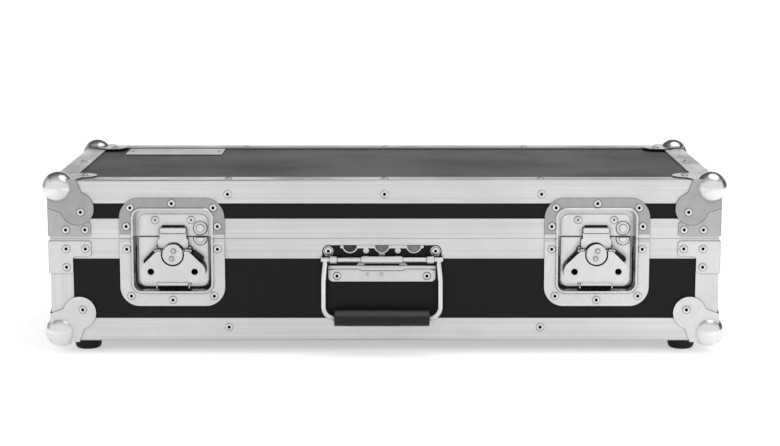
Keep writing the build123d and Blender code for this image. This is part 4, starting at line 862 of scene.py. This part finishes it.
def mould_grip(tilt, length_of_grip, radius):
    """The rubber sleeve: slightly uneven along its length, with soft ends."""
    grip = start_piece("handle_sleeve", "cylinder", vertices=48, radius=radius, depth=length_of_grip,
                       rotation=(0, pi / 2, 0), location=(0, 0, -BAIL_DROP))
    pick(lambda edge: abs(edge.verts[0].co.x - edge.verts[1].co.x) > 10 * MM, "edges")
    bpy.ops.mesh.subdivide(number_cuts=30)
    pick(lambda face: abs(face.normal.x) > 0.9)
    bpy.ops.mesh.inset(thickness=GRIP_RIM)
    bpy.ops.mesh.inset(thickness=GRIP_FACE)
    bpy.ops.transform.resize(value=(1 - GRIP_SINK / length_of_grip, 1, 1))
    pick(lambda edge: all(abs(abs(vertex.co.x) - length_of_grip / 2) < NEAR for vertex in edge.verts)
         and hypot(edge.verts[0].co.y, edge.verts[0].co.z + BAIL_DROP) > radius - NEAR, "edges")
    bpy.ops.mesh.bevel(offset=GRIP_ROUND, segments=3, affect="EDGES")
    close_edit(grip, "sleeve_rubber", smooth=50)
    roughen(grip, "grip_clouds", 18.0 * MM, 0.5 * MM, 1.0)
    hang(grip, tilt)
    settle(grip, "handle", "grip_rubber", "handle_grip")


def plate_handle():
    """The pressed plate, glossier where it is rolled round the bail, and lighter there as painted highlight.
    """
    plate = smooth_copy("handle_pressed_plate", "handle_plate", "base", "handle_metal",
                        "zinc_plate", "bright_wire")
    turn_second(plate, lambda face: hypot(face.center.y - HANDLE_AXIS.y, face.center.z - HANDLE_AXIS.z)
                < TUBE_RADIUS)


# The plate's round openings: X from the handle's middle, and the finish behind, its grey painted shade.
CUPS = ((-32.9, "dark_cup"), (0.0, "middle_cup"), (32.9, "light_cup"))
CUP_RADIUS, CUP_THICK, CUP_DEPTH, CUP_HEIGHT = 7.4 * MM, 0.6 * MM, 1.15 * MM, 114.3 * MM
CUP_CUT = -0.05 * MM
# The leaf's spots, and the points of the painted shade along its crease, in millimetres: X from the handle's
# middle, then Z.
SPOTS, SPOT_HEIGHT, SPOT_RADIUS, SPOT_RISE = (-15.0, -0.5), 84.0 * MM, 1.9 * MM, 0.7 * MM
CREASE_SHADE = ((-54.8, 88.4), (-49.0, 89.65), (-25.0, 89.65), (-20.0, 87.85),
          (20.0, 87.85), (25.0, 89.65), (49.0, 89.65), (54.8, 88.4))
CREASE_SHADE_SIZE = (0.2 * MM, 0.3 * MM, 0.55 * MM)
LEAF_DEPTH = 0.05 * MM


def press_cups():
    """The shallow floors behind the handle plate's three round openings, in their lower halves, greyed as
    painted shade from dark on the left to light on the right.
    """
    for place, finish in CUPS:
        cup = start_piece("handle_" + finish, "cylinder", vertices=32, radius=CUP_RADIUS,
                          depth=CUP_THICK, rotation=(pi / 2, 0, 0))
        pick(looks_front)
        bpy.ops.mesh.inset(thickness=0.9 * MM)
        step_in(2.4 * MM, 0, 0.4 * MM, 0)
        bpy.ops.mesh.select_all(action="SELECT")
        bpy.ops.mesh.bisect(plane_co=(0, 0, CUP_CUT), plane_no=(0, 0, 1), use_fill=True, clear_outer=True)
        close_edit(cup, finish, smooth=50)
        cup.data.transform(Matrix.Translation((HANDLE_X + place * MM, FRONT_FACE + CUP_DEPTH, CUP_HEIGHT)))
        settle(cup, "base", "handle_metal")


def spot_leaf():
    """Two small spots pressed in the handle's lower leaf."""
    places = [facing_front(HANDLE_X + x * MM, LEAF_DEPTH, SPOT_HEIGHT) for x in SPOTS]
    spots = place_copies("handle_leaf_spots", solid_rivet_model(SPOT_RADIUS, SPOT_RISE), places)
    settle(spots, "base", "handle_metal")


def shade_leaf_crease():
    """A dark strip as painted shade along the crease under the band pressed along the leaf's upper edge."""
    crease = start_piece("handle_leaf_crease", "cube", size=1.0)
    bpy.ops.transform.resize(value=CREASE_SHADE_SIZE)
    x, z = CREASE_SHADE[0]
    bpy.ops.transform.translate(value=(HANDLE_X + x * MM, FRONT_FACE - LEAF_DEPTH, z * MM))
    pick(lambda face: face.normal.x > 0.9)
    for (x, z), (next_x, next_z) in zip(CREASE_SHADE, CREASE_SHADE[1:]):
        extrude_by((next_x - x) * MM, 0, (next_z - z) * MM)
    close_edit(crease, "rivet_hollow")
    settle(crease, "base", "handle_metal")


# ------------------------ lining
def cut_foam(name, node, body):
    """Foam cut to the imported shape, with soft worn edges and an uneven face."""
    deselect_all()
    piece = copy_in(NODES[node])
    piece.name = name
    weld(piece)
    bpy.ops.object.mode_set(mode="OBJECT")
    piece.data.materials.append(bpy.data.materials["charcoal_foam"])
    change(piece, "REMESH", mode="VOXEL", voxel_size=4.0 * MM)
    change(piece, "SMOOTH", iterations=3)
    roughen(piece, name + "_clouds", 26.0 * MM, 1.2 * MM, 0.4)
    bpy.ops.object.shade_smooth()
    settle(piece, body, "foam", node)


# ------------------------ studio
def light_world(strength):
    """White as seen and reflected, and a plain even light of the strength otherwise."""
    world = bpy.data.worlds.new("studio_world")
    bpy.context.scene.world = world
    world.use_nodes = True
    tree = world.node_tree
    rays = add(tree, "LightPath").outputs
    seen = maths(tree, "MAXIMUM", rays["Is Camera Ray"],
                 maths(tree, "MAXIMUM", rays["Is Glossy Ray"], rays["Is Transmission Ray"]))
    background = tree.nodes["Background"]
    background.inputs["Color"].default_value = (1, 1, 1, 1)
    feed(tree, background.inputs["Strength"], remap(tree, seen, 0, 1, strength, 1.0))


def studio_card(name, tone, size, place, turn=(0, 0, 0), seen=0.0, reflected=0.0, fade=None, dip=None):
    """A flat card; seen and reflected are what the camera and the reflections add to it.

    A card with a fade is white up to the first Y and reaches its tone at the second. A dip is a middle
    X, the reach to either side at which the reflections are full again, and what they lose at the middle.
    """
    deselect_all()
    bpy.ops.mesh.primitive_plane_add(size=1.0)
    card = bpy.context.object
    card.name = name
    bpy.ops.object.mode_set(mode="EDIT")
    bpy.ops.transform.resize(value=(size[0], size[1], 1.0))
    for axis, angle in zip("XYZ", turn):
        bpy.ops.transform.rotate(value=angle, orient_axis=axis, center_override=(0, 0, 0))
    bpy.ops.transform.translate(value=place)
    bpy.ops.object.mode_set(mode="OBJECT")
    tree, shader, position = start_finish(name)
    rays = add(tree, "LightPath").outputs
    mirrored = times(tree, rays["Is Glossy Ray"], reflected)
    if dip:
        middle, reach, loss = dip
        away = maths(tree, "ABSOLUTE", maths(tree, "SUBTRACT", part_of(tree, position, "X"), middle))
        mirrored = times(tree, mirrored, remap(tree, away, 0.0, reach, 1.0 - loss, 1.0))
    glow = maths(tree, "ADD", times(tree, rays["Is Camera Ray"], seen), mirrored)
    shader.inputs["Base Color"].default_value = (*grey(tone), 1)
    if fade:
        share = remap(tree, part_of(tree, position, "Y"), *fade)
        feed(tree, shader.inputs["Base Color"],
             blend_colours(tree, share, (1, 1, 1, 1), (*grey(tone), 1)))
        glow = times(tree, glow, maths(tree, "SUBTRACT", 1.0, share))
    shader.inputs["Roughness"].default_value = 1.0
    shader.inputs["Specular IOR Level"].default_value = 0.0
    shader.inputs["Emission Color"].default_value = (1, 1, 1, 1)
    feed(tree, shader.inputs["Emission Strength"], glow)
    card.data.materials.append(bpy.data.materials[name])
    return card


def softbox(name, place, target, size, power):
    """A round lamp that faces its target."""
    light = bpy.data.lights.new(name, "AREA")
    light.shape = "DISK"
    light.size = size
    light.energy = power
    lamp = bpy.data.objects.new(name, light)
    bpy.context.scene.collection.objects.link(lamp)
    lamp.location = place
    lamp.rotation_euler = (Vector(target) - Vector(place)).to_track_quat("-Z", "Y").to_euler()


def stand_camera(settings):
    data = bpy.data.cameras.new("camera")
    data.sensor_width = 36.0
    data.lens = settings.lens
    camera = bpy.data.objects.new("camera", data)
    bpy.context.scene.collection.objects.link(camera)
    camera.location = settings.camera_place
    camera.rotation_euler = (pi / 2 - settings.camera_pitch, 0, 0)
    bpy.context.scene.camera = camera


# ------------------------ operators
class CASE_OT_panels(bpy.types.Operator):
    """Gives the plywood panels their laminate"""
    bl_idname = "pedal_case.panels"
    bl_label = "Panels"

    def execute(self, context):
        finish_node("black_laminate", "lid_top_panel", "lid_front_panel", "lid_back_panel",
                    "lid_side_panels", "base_floor_panel", "base_front_panel", "base_back_panel",
                    "base_side_panels")
        finish_node("satin_plate", "nameplate")
        return {"FINISHED"}


class CASE_OT_extrusions(bpy.types.Operator):
    """Gives the aluminium extrusions lines along their length"""
    bl_idname = "pedal_case.extrusions"
    bl_label = "Extrusions"

    def execute(self, context):
        for part in ("lid", "base"):
            finish_node("aluminium_along_x", *(f"{part}_{kind}_{side}" for kind in ("edge", "rail")
                                               for side in ("front", "back")))
            finish_node("aluminium_along_y", *(f"{part}_{kind}_{side}" for kind in ("edge", "rail")
                                               for side in ("left", "right")))
            finish_node("aluminium_along_z", part + "_corner_posts")
        return {"FINISHED"}


class CASE_OT_hardware(bpy.types.Operator):
    """Plates the corners, braces, latches, handle and hinges"""
    bl_idname = "pedal_case.hardware"
    bl_label = "Hardware"

    def execute(self, context):
        # The lid's braces take a darker zinc as painted shade.
        finish_node("brace_zinc", "lid_braces")
        finish_node("zinc_plate", "base_braces", "hinge_base_leaves", "hinge_lid_leaves",
                    "hinge_pins", "foot_screws")
        for side in ("_left", "_right"):
            finish_node("zinc_plate", "latch_dish_lower" + side)
            finish_node("bright_zinc", *("latch_" + part + side
                                         for part in ("base", "keeper", "hook", "rotor", "wing")))
        finish_node("tread_rubber", "feet")
        return {"FINISHED"}


class CASE_OT_corners(bpy.types.Operator):
    """Plates the pressed ball corners"""
    bl_idname = "pedal_case.corners"
    bl_label = "Ball corners"

    def execute(self, context):
        # The lid's petals take the darker zinc as painted shade.
        plate_corners("lid", "dull_zinc")
        plate_corners("base", "zinc_plate")
        return {"FINISHED"}


class CASE_OT_latches(bpy.types.Operator):
    """Adds the latches' studs and buffer pads"""
    bl_idname = "pedal_case.latches"
    bl_label = "Latches"

    def execute(self, context):
        for side, middle in (("left", -LATCH_REACH), ("right", LATCH_REACH)):
            plate_upper_dish(side)
            set_disc_studs(side, middle)
            set_pads(side, middle)
            sink_shackle_well_shades(side, middle)
            set_keeper_slot_shadow(side, middle)
            set_lip_ticks(side, middle)
        return {"FINISHED"}


class CASE_OT_handle(bpy.types.Operator):
    """Bends the bail and moulds its grip and the plate's cups"""
    bl_idname = "pedal_case.handle"
    bl_label = "Handle"

    def execute(self, context):
        low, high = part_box("handle_grip")
        middle = (low + high) / 2
        tilt = atan2(HANDLE_AXIS.y - middle.y, HANDLE_AXIS.z - middle.z)
        plate_handle()
        bend_bail(tilt)
        mould_grip(tilt, high.x - low.x, (high.z - low.z) / 2)
        press_cups()
        spot_leaf()
        shade_leaf_crease()
        return {"FINISHED"}


class CASE_OT_lining(bpy.types.Operator):
    """Cuts the foam lining"""
    bl_idname = "pedal_case.lining"
    bl_label = "Lining"

    def execute(self, context):
        cut_foam("lid_lining", "lid_foam", "lid")
        cut_foam("floor_lining", "base_floor_foam", "base")
        cut_foam("wall_lining", "base_wall_foam", "base")
        return {"FINISHED"}


class CASE_OT_rivets(bpy.types.Operator):
    """Models the hollow heads of the blind rivets"""
    bl_idname = "pedal_case.rivets"
    bl_label = "Rivets"

    def execute(self, context):
        for part in ("lid", "base"):
            set_rivets(part)
        return {"FINISHED"}


class CASE_OT_studio(bpy.types.Operator):
    """Sets the pale floor, the softboxes and the camera"""
    bl_idname = "pedal_case.studio"
    bl_label = "Studio"

    def execute(self, context):
        settings = studio()
        bpy.context.scene.view_settings.view_transform = "Standard"
        light_world(settings.world)
        studio_card("studio_floor", 235, (30, 30), (0, 0, 0),
                    seen=settings.floor_glow, reflected=settings.floor_shine, dip=(-0.08, 0.48, 0.52))
        for flag in (studio_card("ceiling", 125, (8, 6.0), (0, 0.3, 2.6), reflected=0.45, fade=(-2.7, 1.0)),
                     studio_card("back_flag", 70, (8, 1.2), (0, 3.2, 2.1), (pi / 2, 0, 0)),
                     studio_card("left_flag", 205, (2.6, 3.4), (-3.2, 1.3, 1.3), (0, pi / 2, 0),
                                 reflected=0.3, fade=(-0.4, 0.7)),
                     studio_card("right_flag", 110, (2.6, 3.4), (3.2, 1.3, 1.3), (0, pi / 2, 0),
                                 reflected=0.3, fade=(-0.4, 0.2))):
            flag.visible_camera = flag.visible_diffuse = flag.visible_shadow = False
        softbox("overhead_softbox", (0.75, 0.1, 2.1), (0.0, 0.0, 0.1), 2.0, settings.key_power)
        stand_camera(settings)
        return {"FINISHED"}


STEPS = (CASE_OT_panels, CASE_OT_extrusions, CASE_OT_hardware, CASE_OT_corners, CASE_OT_latches,
         CASE_OT_handle, CASE_OT_lining, CASE_OT_rivets, CASE_OT_studio)


class CASE_PT_sidebar(bpy.types.Panel):
    """The case's finish, step by step"""
    bl_idname = "CASE_PT_sidebar"
    bl_label = "Pedal case"
    bl_space_type = "VIEW_3D"
    bl_region_type = "UI"
    bl_category = "Pedal case"

    def draw(self, context):
        for group in (colours(), sizes(), studio()):
            box = self.layout.box()
            for name in group.bl_rna.properties.keys():
                if name not in ("rna_type", "name"):
                    box.prop(group, name)
        for step in STEPS:
            self.layout.operator(step.bl_idname)


GROUPS = (("case_colours", CaseColours), ("case_sizes", CaseSizes), ("case_studio", CaseStudio))


def register():
    for kind in (*(group for _, group in GROUPS), *STEPS, CASE_PT_sidebar):
        bpy.utils.register_class(kind)
    for name, group in GROUPS:
        setattr(bpy.types.Scene, name, PointerProperty(type=group))


def unregister():
    for name, _ in GROUPS:
        delattr(bpy.types.Scene, name)
    for kind in (CASE_PT_sidebar, *reversed(STEPS), *(group for _, group in reversed(GROUPS))):
        bpy.utils.unregister_class(kind)


def main():
    register()
    for make_effect in EFFECTS:
        make_effect()
    make_finishes()
    for step in STEPS:
        family, name = step.bl_idname.split(".")
        getattr(getattr(bpy.ops, family), name)()


if __name__ == "__main__":
    main()
